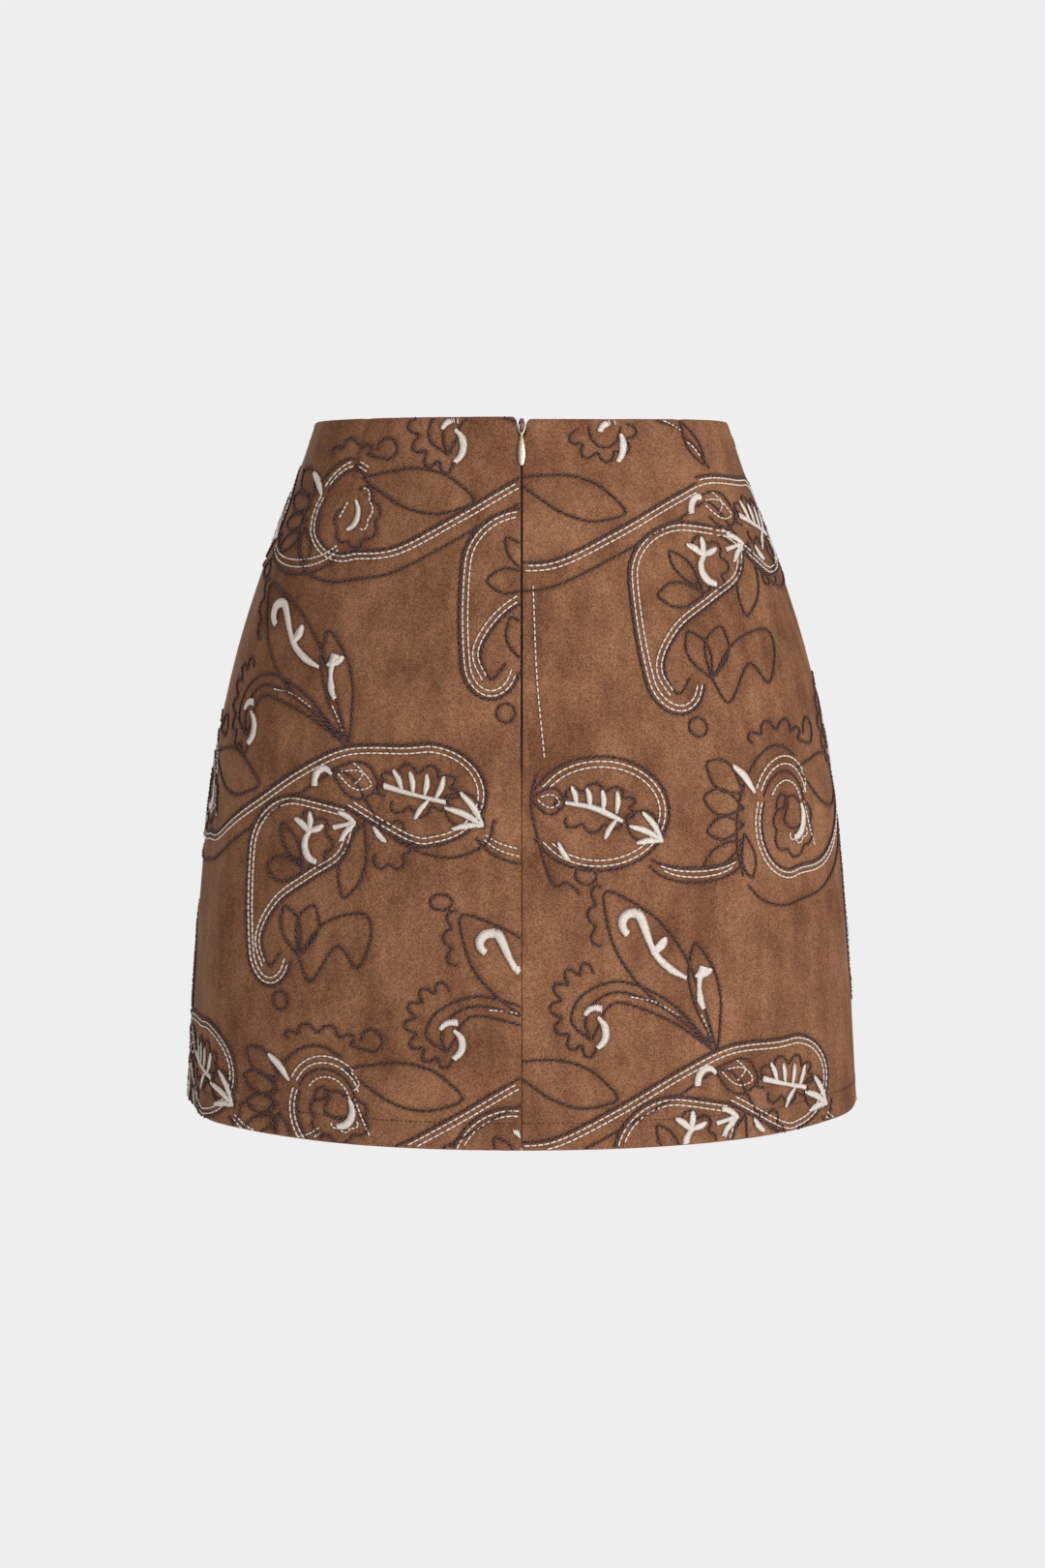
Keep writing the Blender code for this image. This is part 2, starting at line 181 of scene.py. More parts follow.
def readTable(table, drop, column):
    xs, ys = table[:, 0], table[:, column]
    order = np.arange(len(xs))
    before, after = np.maximum(order - 1, 0), np.minimum(order + 1, len(xs) - 1)
    slope = (ys[after] - ys[before]) / (xs[after] - xs[before])
    drop = np.asarray(drop, float)
    i = np.clip(np.searchsorted(xs, drop, side="right") - 1, 0, len(xs) - 2)
    step = xs[i + 1] - xs[i]
    t = np.clip((drop - xs[i]) / step, 0, 1)
    return (
        (2 * t**3 - 3 * t**2 + 1) * ys[i]
        + (t**3 - 2 * t**2 + t) * step * slope[i]
        + (3 * t**2 - 2 * t**3) * ys[i + 1]
        + (t**3 - t**2) * step * slope[i + 1]
    )


def loftPoints(angle, drop):
    side, back = np.sin(np.radians(angle)), np.cos(np.radians(angle))
    width = readTable(sections, drop, 1)
    depth = np.where(back > 0, readTable(sections, drop, 2), readTable(sections, drop, 3))
    power = form["roundness"]
    reach = (np.abs(side / width) ** power + np.abs(back / depth) ** power) ** (-1 / power)
    return np.stack([reach * side, -reach * back, -drop + 0 * reach], -1)


def loftNormals(angle, drop):
    turn, step = 0.2, 1.0
    across = loftPoints(angle + turn, drop) - loftPoints(angle - turn, drop)
    low, high = np.minimum(drop + step, form["length"]), np.maximum(drop - step, 0)
    down = loftPoints(angle, low) - loftPoints(angle, high)
    normal = np.cross(down, across)
    return normal / np.linalg.norm(normal, axis=-1, keepdims=True)


def relief(angle, drop):
    lift = np.zeros(np.broadcast(angle, drop).shape)
    for middle, drift, width, start, full, end, height in folds:
        grown = smoothStep(start, full, drop) * (1 - smoothStep(end * form["foldFades"], end, drop))
        off = ((angle - middle - drift * drop / form["length"] + 180) % 360 - 180) / width
        lift = lift + height * grown * np.exp(-off * off)
    for middle, lean, length, depth, half in darts:
        left = 1 - smoothStep(form["dartFades"] * length, length, drop)
        off = np.abs((angle - middle - lean * drop / length + 180) % 360 - 180)
        lift = lift - depth * left * np.maximum(0, 1 - off / half)
    return lift


def skinPoints(angle, drop, lift=0.0):
    angle, drop = np.broadcast_arrays(np.asarray(angle, float), np.asarray(drop, float))
    normal = loftNormals(angle, drop)
    points = loftPoints(angle, drop) + normal * (relief(angle, drop) + lift)[..., None]
    fade = 1 - smoothStep(form["stepFrom"], form["stepTo"], angle)
    lowered = form["rightTopStep"] * fade * (1 - smoothStep(0, form["stepDrop"], drop))
    points[..., 2] -= np.where((angle > 0) & (angle < 90), lowered, 0)
    return points, normal


def lengthAlong(points):
    return np.concatenate([[0], np.cumsum(np.linalg.norm(np.diff(points, axis=0), axis=1))])


chartGrid = {"turnDeg": 96, "columns": 769, "rows": 155, "reach": 300, "step": 2.0}


def makeChart(centre):
    angles = centre + np.linspace(-chartGrid["turnDeg"], chartGrid["turnDeg"], chartGrid["columns"])
    drops = np.linspace(0, form["length"], chartGrid["rows"])
    middle = chartGrid["columns"] // 2
    grid = loftPoints(angles[None, :], drops[:, None])
    steps = np.linalg.norm(np.diff(grid, axis=1), axis=2)
    arcs = np.concatenate([np.zeros((len(drops), 1)), np.cumsum(steps, 1)], 1)
    arcs -= arcs[:, middle : middle + 1]
    span = np.arange(-chartGrid["reach"], chartGrid["reach"] + 1, chartGrid["step"])
    return {
        "angles": angles, "drops": drops, "arcs": arcs, "span": span, "downs": lengthAlong(grid[:, middle]),
        "angleAt": np.stack([np.interp(span, row, angles) for row in arcs]),
    }


def gridRead(values, row, column):
    i = np.clip(np.floor(row).astype(int), 0, values.shape[0] - 2)
    j = np.clip(np.floor(column).astype(int), 0, values.shape[1] - 2)
    a, b = np.clip(row - i, 0, 1), np.clip(column - j, 0, 1)
    top = values[i, j] * (1 - b) + values[i, j + 1] * b
    return top * (1 - a) + (values[i + 1, j] * (1 - b) + values[i + 1, j + 1] * b) * a


def fromChart(chart, x, drop):
    row = np.asarray(drop) / (chart["drops"][1] - chart["drops"][0])
    return gridRead(chart["angleAt"], row, (np.asarray(x) - chart["span"][0]) / chartGrid["step"])


def toChart(chart, angle, drop):
    row = np.asarray(drop) / (chart["drops"][1] - chart["drops"][0])
    column = (np.asarray(angle) - chart["angles"][0]) / (chart["angles"][1] - chart["angles"][0])
    return gridRead(chart["arcs"], row, column)


backChart, frontChart = makeChart(0), makeChart(180)
panels = {
    "backLeft": {"node": "back_left_panel", "chart": backChart, "side": -1, "pitch": 1.8},
    "backRight": {"node": "back_right_panel", "chart": backChart, "side": 1, "pitch": 1.8},
    "front": {"node": "front_panel", "chart": frontChart, "side": 0, "pitch": 2.5},
}


def zipEdge(drop):
    drop = np.asarray(drop, float)
    closed = smoothStep(form["zipLength"], form["zipLength"] + form["zipFade"], drop)
    plain = (form["zipGap"] * (1 - closed) + form["seamGap"] * closed) / 2
    return np.where(drop < notch[-1, 0], readTable(notch, drop, 1), plain)


def panelEdges(panel, drop):
    # the chart x of a panel's two edges
    drop = np.asarray(drop, float)
    chart = panel["chart"]
    seam = 90 - np.degrees(form["seamGap"] / 2 / readTable(sections, drop, 1))
    if panel["side"] == 0:
        return toChart(chart, 180 - seam, drop), toChart(chart, 180 + seam, drop)
    centre = np.degrees(np.arcsin(zipEdge(drop) / readTable(sections, drop, 2)))
    if panel["side"] == 1:
        return toChart(chart, centre, drop), toChart(chart, seam, drop)
    return toChart(chart, -seam, drop), toChart(chart, -centre, drop)


def wallAt(drop):
    # the cloth's thickness, two layers deep in the turned hem
    rolled = smoothStep(form["length"] - form["hemRoll"], form["length"], drop)
    hemTop = form["length"] - form["hemDepth"] + form["hemStep"] / 2
    return np.where(drop < hemTop, form["wall"], form["hemWall"] - form["hemRollIn"] * rolled)


print("skirt form ready")


# the embroidery's repeat, in flat millimetres from the peak of its paisley, x to the right and y down
def arc(centre, reach, fromDeg, toDeg, number=7):
    # part of an oval, 0 degrees to the right and 90 down
    turn = np.radians(np.linspace(fromDeg, toDeg, number))
    return [(centre[0] + reach[0] * math.cos(t), centre[1] + reach[1] * math.sin(t)) for t in turn]


petalForm = {"share": [0, 0.2, 0.45, 0.7, 0.9, 1.0], "fullest": 1.3, "blunt": 0.8}


def petal(base, tip, width):
    # a closed leaf shape, out along one side and back along the other
    base, tip = np.array(base, float), np.array(tip, float)
    along = tip - base
    side = np.array([-along[1], along[0]]) / np.linalg.norm(along) * width / 2
    share = np.array(petalForm["share"])
    swell = np.sin(math.pi * share ** petalForm["fullest"]) ** petalForm["blunt"]
    out = [tuple(base + along * f + side * w) for f, w in zip(share, swell)]
    return out + [tuple(base + along * f - side * w) for f, w in zip(share[::-1][1:], swell[::-1][1:])]


def scallops(centre, reach, fromDeg, toDeg, lobes, swell):
    # a row of round lobes along part of an oval
    share = np.linspace(0, 1, 4 * lobes + 1)
    turn = np.radians(fromDeg + (toDeg - fromDeg) * share)
    lift = swell * np.abs(np.sin(math.pi * lobes * share))
    return [(centre[0] + (reach[0] + h) * math.cos(t), centre[1] + (reach[1] + h) * math.sin(t))
            for t, h in zip(turn, lift)]


def motif(cord=(), double=(), single=(), satin=(), leaf=()):
    # cord: paths of couched dark cord. double: a path, then how far to its right each row of long running
    # stitches lies. single: paths of one row of short stitches. satin: a path and the band's widths along it.
    # leaf: base, tip and width
    return {"cord": cord, "double": double, "single": single, "satin": satin, "leaf": leaf}


bandRise = [(-122, 56), (-88, 38), (-54, 18), (-24, 5)]
paisleyBand = (arc((-154, 38), (22, 22), 205, 70, 8) + bandRise + arc((20, 29), (33, 27), -108, 105, 9)
               + [(-24, 37)])
paisley = motif(
    cord=[
        paisleyBand,
        [(x, y + 14) for x, y in arc((-158, 40), (32, 22), 150, 70, 5) + bandRise]
        + [(0, 50), (30, 62), (52, 55), (57, 42)],
        petal((-33, 18), (-5, 26), 20),
        scallops((16, 27), (18, 9), 160, 500, 9, 5),
        petal((52, 46), (32, 30), 18),
    ],
    double=[(paisleyBand, 1.8, 4.6)],
    single=[petal((-29, 19), (-9, 25), 10), [(-20, 13), (-14, 19), (-20, 26)]],
    satin=[
        (arc((-37, 25), (6, 8), -40, -190, 5), [2.4, 4.6, 5.2, 4.6]),
        ([(-2, 25), (13, 29), (31, 33)], [4, 2.2, 3]),
    ],
    leaf=[((8 + 6 * k, 27 + 1.4 * k), (3 + 9 * k, 17 + k), 4.3) for k in range(4)]
    + [((22, 32), (15, 42), 4.2)]
    + [((51, 45), tip, 4.8) for tip in ((39, 28), (31, 36), (35, 47))],
)
commaOuter = ([(-24, 37)] + arc((-55, 66), (34, 34), -75, -180, 6) + [(-90, 92)]
              + arc((-73, 115), (16, 21), 180, 15))
commaInner = [(-17, 44), (-25, 64), (-45, 77), (-66, 91), (-78, 110), (-73, 125), (-65, 117)]
comma = motif(
    cord=[
        commaOuter,
        commaInner,
        arc((-65, 143), (5, 5), 0, 360, 9),
        petal((-53, 118), (-62, 92), 13),
        petal((-53, 118), (-43, 90), 14),
        [(-53, 118), (-36, 99), (-14, 93), (-9, 104), (-17, 122), (-29, 111), (-45, 131), (-53, 118)],
        scallops((-46, 56), (11, 12), -120, 130, 5, 4),
        petal((-50, 70), (-65, 48), 9),
        petal((-49, 72), (-75, 72), 14),
    ],
    double=[(commaOuter, -1.8, -4.6), (commaInner[:6], 1.8, 4.6)],
    satin=[
        (arc((-41, 58), (8, 9), 235, 95, 5), [3.2, 4.8, 5.6, 3.6]),
        ([(-19, 45), (-31, 48)], [2.2, 3.0]),
    ],
    leaf=[((-46, 51), tip, 5.6) for tip in ((-55, 45), (-46, 41), (-38, 47))]
    + [((-18, 45), tip, 4.5) for tip in ((-28, 40), (-27, 55))],
)
squiggle = motif(
    cord=[scallops((1, 56), (9, 10), -150, 150, 5, 4), petal((-13, 44), (-25, 85), 15)],
    leaf=[((-8, 47), (-1, 54), 4.6)],
)
crescent = motif(
    cord=[arc((81, 44), (36, 22), 160, 25)],
    single=[arc((81, 41), (34, 17), 150, 30), arc((81, 42), (35, 20), 150, 30)],
)
spray = motif(
    cord=[[(-24, 4), (-49, -21 + 5 * k), (-78, -32 + 6 * k), (-100 + 6 * k, -23 + 4 * k),
           (-107 + 8 * k, -7), (-96, 3)] for k in range(3)]
    + [
        scallops((-96, -14), (17, 21), 80, 275, 7, 6),
        petal((-24, 0), (-88, -82), 34),
        petal((-22, 3), (-36, -57), 18),
        arc((-99, -90), (6, 5), 20, 380, 9),
        scallops((-84, -68), (10, 22), 130, 230, 3, 4),
    ],
    single=[[(-33, -17), (-25, -1)], [(-46, -15), (-60, -22), (-75, -24)]],
    satin=[
        (arc((-73, -65), (6, 6.5), 120, 320, 6) + [(-61, -51), (-52, -42), (-42, -37)],
         [4.8, 6.4, 6.6, 5.6, 4.0, 4.6, 5.0, 2.0]),
        (arc((-29, -32), (5, 13), 245, 115, 6), [7.0, 4.4, 2.8, 5.2, 3.0]),
        (arc((-93, -9), (7, 7), 200, 290, 4), [3.0, 4.0, 4.6]),
        (arc((-97, -2), (9, 10), -60, 60, 5), [2.0, 5.0, 4.8, 3.4]),
    ],
    leaf=[((-61, -49), (-55, -59), 8.6), ((-36, -38), (-27, -43), 6.8)],
)
spiralLeaf = motif(cord=[petal((-146, 15), (-82, 28), 24)])
spiral = motif(
    cord=[
        arc((-163, 42), (30, 38), 150, 300, 8),
        scallops((-162, 3), (19, 6), 185, 350, 4, 5) + arc((-131, -1), (6, 6), 120, -190, 7),
        *spiralLeaf["cord"],
    ]
    + [petal((-188, 24 + 7 * k), (-211 - 2 * (k % 2), 10 + 15 * k), 13 - 1.5 * k) for k in range(4)]
    + [petal((-188, 42), (-183, 62), 9)],
    leaf=[((-181, 24), (-195, 12), 6.0)],
)
# how the band coils inside the spiral: whole, and where a dart has taken its far side
coil = motif(
    cord=[
        arc((-158, 34), (18, 18), 205, 345, 9) + arc((-150, 33), (10, 9), 0, 150, 6)
        + arc((-160, 33), (5, 7), -20, -175, 5),
        scallops((-150, 41), (15, 11), -60, 290, 6, 3),
    ],
    double=[(arc((-158, 33), (24, 24), 205, 318, 9), 0.0), (arc((-158, 33), (20.5, 20.5), 205, 345, 9), 0.0)],
    single=[
        arc((-157, 35), (14, 15), 215, 345),
        [(-143, 16), (-138, 22), (-143, 28)],
        [(-141, 30), (-136, 42), (-131, 52)],
        scallops((-147, 42), (7, 5), 0, 170, 3, 2),
    ],
    satin=[(arc((-150, 37), (8, 9), -40, 95, 6), [2.0, 4.4, 5.6, 5.6, 3.0])],
)
tuckedBand = arc((-154, 36), (22, 24), 305, 205, 7)
tuckedCoil = motif(cord=[tuckedBand], double=[(tuckedBand, 1.8, 4.6)])
tuckedHeart = motif(
    cord=[scallops((-150, 36), (13, 15), -80, 200, 6, 3)],
    single=[scallops((-147, 32), (6, 11), -80, 90, 3, 2), [(-155, 28), (-164, 43)]],
    satin=[(arc((-156, 34), (8, 10), -40, 80, 5), [1.8, 3.4, 4.0, 2.2])],
)
# where the right back panel's seam cuts through a repeat: these two have their places on that panel itself
cutPaisley = motif(
    cord=[
        arc((41, 214), (38, 30), -155, 155, 13),
        [(8, 193), (5, 208), (10, 232), (17, 251), (24, 250), (31, 256)],
        petal((5, 206), (23, 208), 14),
        scallops((39, 211), (18, 9), 175, 510, 9, 4),
        petal((76, 227), (56, 216), 16),
        arc((96, 236), (29, 8), 160, 20),
        arc((96, 238), (29, 14), 165, 20),
    ],
    double=[
        (arc((41, 214), (35.5, 27.5), -150, 150, 13), 0.0),
        (arc((41, 214), (32.5, 24.5), -145, 145, 13), 0.0),
        (arc((96, 238), (26, 8), 150, 25), 0.0),
        (arc((96, 240), (24, 9), 150, 25), 0.0),
    ],
    single=[petal((8, 206), (20, 208), 7)],
    satin=[([(23, 208), (38, 211), (53, 218)], [2.2, 3.0, 4.2, 2.4])],
    leaf=[((29 + 7 * k, 209 + 1.6 * k), (26 + 8 * k, 200 + k), 4.2) for k in range(4)]
    + [((50, 217), (44, 227), 4.2)]
    + [((75, 229), tip, 4.6) for tip in ((64, 214), (57, 221), (61, 230))]
    + [((19, 229), (25, 238), 4.0)],
)
cutSpray = motif(
    cord=[
        scallops((44, 7), (14, 12), -20, 185, 5, 5),
        arc((45, 3), (9, 13), 175, 5),
        [(75, 1), (96, 7), (112, 12), (121, 27)],
        petal((109, 1), (118, 25), 9),
    ],
    single=[[(79, 1), (96, 8), (110, 13), (117, 22)]],
    satin=[
        (arc((49, 8), (7, 6), 190, 280, 4), [4.0, 4.6, 4.6]),
        (arc((49, 15), (6, 10), -40, 60, 5), [2.2, 5.2, 4.8, 3.0]),
    ],
)
wholeRepeat = [paisley, comma, squiggle, crescent, spray, spiral, coil]
# x and y of a paisley's peak, the motifs round it and, where the cloth lies askew there, how much of the
# pattern's x and y goes into x and into y
embroideryPlan = {
    "backLeft": [
        (-71, 175, wholeRepeat),
        (54, 15, [paisley, tuckedCoil]),
        (57, 18, [comma, squiggle, crescent, spray, spiral, tuckedHeart]),
        (51, 336, [paisley, comma, squiggle, crescent, spiral, coil]),
        (57, 337, [spray], (1.0, 0.0, 0.0, 0.85)),
        (-214, 21, wholeRepeat),
        (-221, 334, wholeRepeat),
        (-338, 175, wholeRepeat),
    ],
    "backRight": [
        (137, 28, [paisley], (0.99, 0.02, 0.065, 1.04)),
        (144, 24, [comma, squiggle], (1.09, 0.16, -0.02, 1.01)),
        (132, 33, [spiralLeaf], (0.94, 0.04, 0.10, 0.98)),
        (0, 0, [cutSpray, cutPaisley]),
        (138, 336, [paisley, comma, squiggle, crescent], (0.99, -0.02, 0.04, 0.96)),
        (128, 341, [spray], (0.95, 0.0, 0.11, 0.93)),
        (127, 345, [spiralLeaf], (0.94, 0.04, 0.10, 0.98)),
        (312, 177, [paisley, spiral, coil], (1.0, 0.0, 0.0, 1.2)),
        (319, 186, [comma, spray, squiggle]),
    ],
    # the front carries on the same half-drop repeat
    "front": [(22 + 128 * i, 96 + 155.5 * j, wholeRepeat) for i in range(-3, 5) for j in range(-1, 3)
              if (i + j) % 2 == 0],
}


betweenKnots = 24


def smoothPath(points, step):
    # a soft curve through the points, read at even steps
    knots = np.array(points, float)
    padded = np.vstack([2 * knots[0] - knots[1], knots, 2 * knots[-1] - knots[-2]])
    f = np.linspace(0, 1, betweenKnots, endpoint=False)[:, None]
    pieces = []
    for k in range(len(knots) - 1):
        p, q, r, s = padded[k : k + 4]
        square, cube = 2 * p - 5 * q + 4 * r - s, 3 * q - p - 3 * r + s
        pieces.append(0.5 * (2 * q + (r - p) * f + square * f**2 + cube * f**3))
    dense = np.vstack(pieces + [knots[-1:]])
    along = lengthAlong(dense)
    count = max(2, int(round(along[-1] / step)) + 1)
    wanted = np.linspace(0, along[-1], count)
    return np.stack([np.interp(wanted, along, dense[:, 0]), np.interp(wanted, along, dense[:, 1])], 1)


def pathNormals(path):
    # unit vectors to the right of the way the path runs, with y pointing down
    along = np.gradient(path, axis=0)
    along /= np.linalg.norm(along, axis=1, keepdims=True) + 1e-9
    return np.stack([-along[:, 1], along[:, 0]], 1)


def tuckDarts(panel, x, drop):
    # takes the cloth that a dart swallows out of the pattern, and returns chart x and what still shows
    shows = np.ones(len(x), bool)
    shifted = x.copy()
    for middle, lean, length, *_ in darts:
        facing = (middle + 90) % 360 - 90
        if (panel["side"] == 0) != (abs(facing) > 90) or panel["side"] * facing < 0:
            continue
        fold = toChart(panel["chart"], facing + lean * drop / length, drop)
        intake = form["dartIntake"] * np.clip(1 - drop / length, 0, 1)
        outward = np.sign(fold)
        beyond = outward * x - np.abs(fold)
        shows &= ~((beyond > 0) & (beyond < intake))
        shifted = np.where(beyond >= intake, x - outward * intake, shifted)
    return shifted, shows


endKeep = 0.5  # no stitch comes nearer than this to the waist's edge or the hem's


def placeOnPanel(panel, flat, margin):
    # flat pattern points to chart x and drop, and whether each lies on the panel
    drop = np.interp(flat[:, 1], panel["chart"]["downs"], panel["chart"]["drops"])
    x, shows = tuckDarts(panel, flat[:, 0], drop)
    low, high = panelEdges(panel, drop)
    inside = (x > low + margin) & (x < high - margin)
    inside &= (flat[:, 1] > endKeep) & (flat[:, 1] < panel["chart"]["downs"][-1] - endKeep)
    return x, drop, shows & inside


edgeRoll = {"sideDeep": 0.4, "sideReach": 1.1, "topDeep": 0.6, "hemDeep": 0.9, "reach": 1.8}


def rolledEdge(panel, x, drop):
    # how far the cloth turns in at its cut edges, its waist and its hem
    low, high = panelEdges(panel, drop)
    beside = np.clip(1 - np.minimum(x - low, high - x) / edgeRoll["sideReach"], 0, 1)
    above = np.clip(1 - drop / edgeRoll["reach"], 0, 1)
    under = np.clip(1 - (form["length"] - drop) / edgeRoll["reach"], 0, 1)
    return -edgeRoll["sideDeep"] * beside**2 - edgeRoll["topDeep"] * above**2 - edgeRoll["hemDeep"] * under**2


def surfaceFrame(panel, x, drop, lift):
    return skinPoints(fromChart(panel["chart"], x, drop), drop, lift + rolledEdge(panel, x, drop))


def fillMesh(name, points, loops, counts, materials, uvs=None, slots=None):
    mesh = bpy.data.meshes.new(name)
    mesh.vertices.add(len(points))
    mesh.vertices.foreach_set("co", (np.asarray(points, float) * mm).ravel())
    mesh.loops.add(len(loops))
    mesh.loops.foreach_set("vertex_index", np.asarray(loops, np.int32))
    mesh.polygons.add(len(counts))
    starts = np.concatenate([[0], np.cumsum(counts)[:-1]])
    mesh.polygons.foreach_set("loop_start", starts.astype(np.int32))
    if slots is not None:
        mesh.polygons.foreach_set("material_index", np.asarray(slots, np.int32))
    mesh.update(calc_edges=True)
    mesh.validate()
    if uvs is not None:
        layer = mesh.uv_layers.new(name="along")
        layer.data.foreach_set("uv", np.asarray(uvs, float).ravel())
    mesh.shade_smooth()
    for material in materials:
        mesh.materials.append(material)
    made = bpy.data.objects.new(name, mesh)
    bpy.context.scene.collection.objects.link(made)
    return made


# finishes
def suedeFinish():
    # bonded faux suede: a short brushed nap, matt with a soft bloom, mottled where it lies different ways
    made, tree = newMaterial("brushedFauxSuede")
    place = addNode(tree, "TexCoord").outputs["Object"]
    # patches about 40 mm across, brush marks of about 11 mm drawn out downwards
    patch = addNode(tree, "TexNoise", {"Scale": 24.0, "Detail": 4.0, "Roughness": 0.6}, {"Vector": place})
    streak = addNode(tree, "Mapping", {"Scale": (1.0, 1.0, 0.28)}, {"Vector": place})
    brush = addNode(tree, "TexNoise", {"Scale": 90.0, "Detail": 4.0, "Roughness": 0.6},
                    {"Vector": streak.outputs[0]})
    # clumps of about 1.7 mm, fibres of 0.8 mm and tufts of 0.6 mm, drawn coarser than the real nap to show
    nap = addNode(tree, "TexNoise", {"Scale": 600.0, "Detail": 2.0, "Roughness": 0.7}, {"Vector": place})
    fibre = addNode(tree, "TexNoise", {"Scale": 1300.0, "Detail": 2.0, "Roughness": 0.6}, {"Vector": place})
    tuft = addNode(tree, "TexVoronoi", {"Scale": 1750.0}, {"Vector": place})
    tone = addNode(tree, "SeparateColor", {}, {0: tuft.outputs["Color"]})
    broad = addNode(tree, "Math", {"operation": "MULTIPLY_ADD", 1: 0.55, 2: 0.0}, {0: patch.outputs[0]})
    broader = addNode(tree, "Math", {"operation": "MULTIPLY_ADD", 1: 0.45},
                      {0: brush.outputs[0], 2: broad.outputs[0]})
    small = addNode(tree, "Math", {"operation": "MULTIPLY_ADD", 1: 0.15, 2: 0.0}, {0: nap.outputs[0]})
    smaller = addNode(tree, "Math", {"operation": "MULTIPLY_ADD", 1: 0.85},
                      {0: fibre.outputs[0], 2: small.outputs[0]})
    mottle = addNode(tree, "MapRange", {"From Min": 0.38, "From Max": 0.62}, {"Value": broader.outputs[0]})
    speckle = addNode(tree, "Math", {"operation": "MULTIPLY_ADD", 1: 0.9},
                      {0: smaller.outputs[0], 2: tone.outputs[0]})
    grain = addNode(tree, "MapRange", {"From Min": 0.0, "From Max": 1.9, "To Min": 0.2, "To Max": 1.8},
                    {"Value": speckle.outputs[0]})
    ground = addNode(tree, "Mix", {"data_type": "RGBA", 6: linearColour("#6E4731"),
                                   7: linearColour("#93674A")}, {0: mottle.outputs[0]})
    fleck = addNode(tree, "Mix", {"data_type": "RGBA", "blend_type": "MULTIPLY", 0: 1.0},
                    {6: ground.outputs[2], 7: grain.outputs[0]})
    # painted shade: close beside the stitches, where they pull the cloth in, its colour is darkened and
    # reddened
    near = addNode(tree, "Attribute", {"attribute_name": "paintedShadeBesideStitch"})
    stitchShadeAmount = addNode(tree, "Math", {"operation": "MULTIPLY", 1: 0.4}, {0: near.outputs["Fac"]})
    shadedNearStitch = addNode(tree, "Mix", {"data_type": "RGBA", 7: linearColour("#57301F")},
                   {0: stitchShadeAmount.outputs[0], 6: fleck.outputs[2]})
    bump = addNode(tree, "Bump", {"Strength": 0.6, "Distance": 0.0005}, {"Height": smaller.outputs[0]})
    return dressShader(made, {
        "Roughness": 0.93, "Specular IOR Level": 0.18, "Sheen Weight": 0.12, "Sheen Roughness": 0.45,
        "Sheen Tint": linearColour("#B5825E"),
    }, {"Base Color": shadedNearStitch.outputs[2], "Normal": bump.outputs[0]})


def backingFinish():
    # the suede's back: a plain fine knit bonded to it, matt and a little darker
    made, tree = newMaterial("bondedKnitBacking")
    place = addNode(tree, "TexCoord").outputs["Object"]
    knit = addNode(tree, "TexWave", {"Scale": 420.0, "Distortion": 2.0, "Detail": 2.0, "Detail Scale": 3.0,
                                     "bands_direction": "Z"}, {"Vector": place})  # courses of about 0.7 mm
    cloud = addNode(tree, "TexNoise", {"Scale": 60.0, "Detail": 3.0}, {"Vector": place})  # about 17 mm
    both = addNode(tree, "Math", {"operation": "MULTIPLY_ADD", 1: 0.4},
                   {0: knit.outputs["Fac"], 2: cloud.outputs[0]})
    shade = addNode(tree, "MapRange", {"From Min": 0.3, "From Max": 1.1}, {"Value": both.outputs[0]})
    colour = addNode(tree, "Mix", {"data_type": "RGBA", 6: linearColour("#4F3425"),
                                   7: linearColour("#735039")}, {0: shade.outputs[0]})
    bump = addNode(tree, "Bump", {"Strength": 0.35, "Distance": 0.0003}, {"Height": knit.outputs["Fac"]})
    return dressShader(made, {"Roughness": 0.9, "Specular IOR Level": 0.2},
                       {"Base Color": colour.outputs[2], "Normal": bump.outputs[0]})


def threadFinish(name, shadeBetweenPlies, highlightOnPlies, bloom, roughness, sheen):
    # spun thread: fine plies about 0.3 mm apart; its colour paints a highlight along each ply and shade
    # between them, and is also uneven at random
    made, tree = newMaterial(name)
    # the map runs in about millimetres along the thread, and counts its four sides
    place = addNode(tree, "UVMap", {"uv_map": "along"}).outputs[0]
    plies = addNode(tree, "TexWave", {"Scale": 2.2, "Distortion": 1.2, "Detail": 1.0,
                                      "bands_direction": "DIAGONAL"}, {"Vector": place})
    uneven = addNode(tree, "TexNoise", {"Scale": 0.9, "Detail": 3.0}, {"Vector": place})
    both = addNode(tree, "Math", {"operation": "MULTIPLY_ADD", 1: 0.35},
                   {0: plies.outputs["Fac"], 2: uneven.outputs[0]})
    shade = addNode(tree, "MapRange", {"From Min": 0.35, "From Max": 0.95}, {"Value": both.outputs[0]})
    colour = addNode(tree, "Mix", {"data_type": "RGBA", 6: linearColour(shadeBetweenPlies), 7: linearColour(highlightOnPlies)},
                     {0: shade.outputs[0]})
    bump = addNode(tree, "Bump", {"Strength": 0.4, "Distance": 0.0002}, {"Height": plies.outputs["Fac"]})
    return dressShader(made, {
        "Roughness": roughness, "Specular IOR Level": 0.35, "Sheen Weight": sheen, "Sheen Roughness": 0.4,
        "Sheen Tint": linearColour(bloom),
    }, {"Base Color": colour.outputs[2], "Normal": bump.outputs[0]})


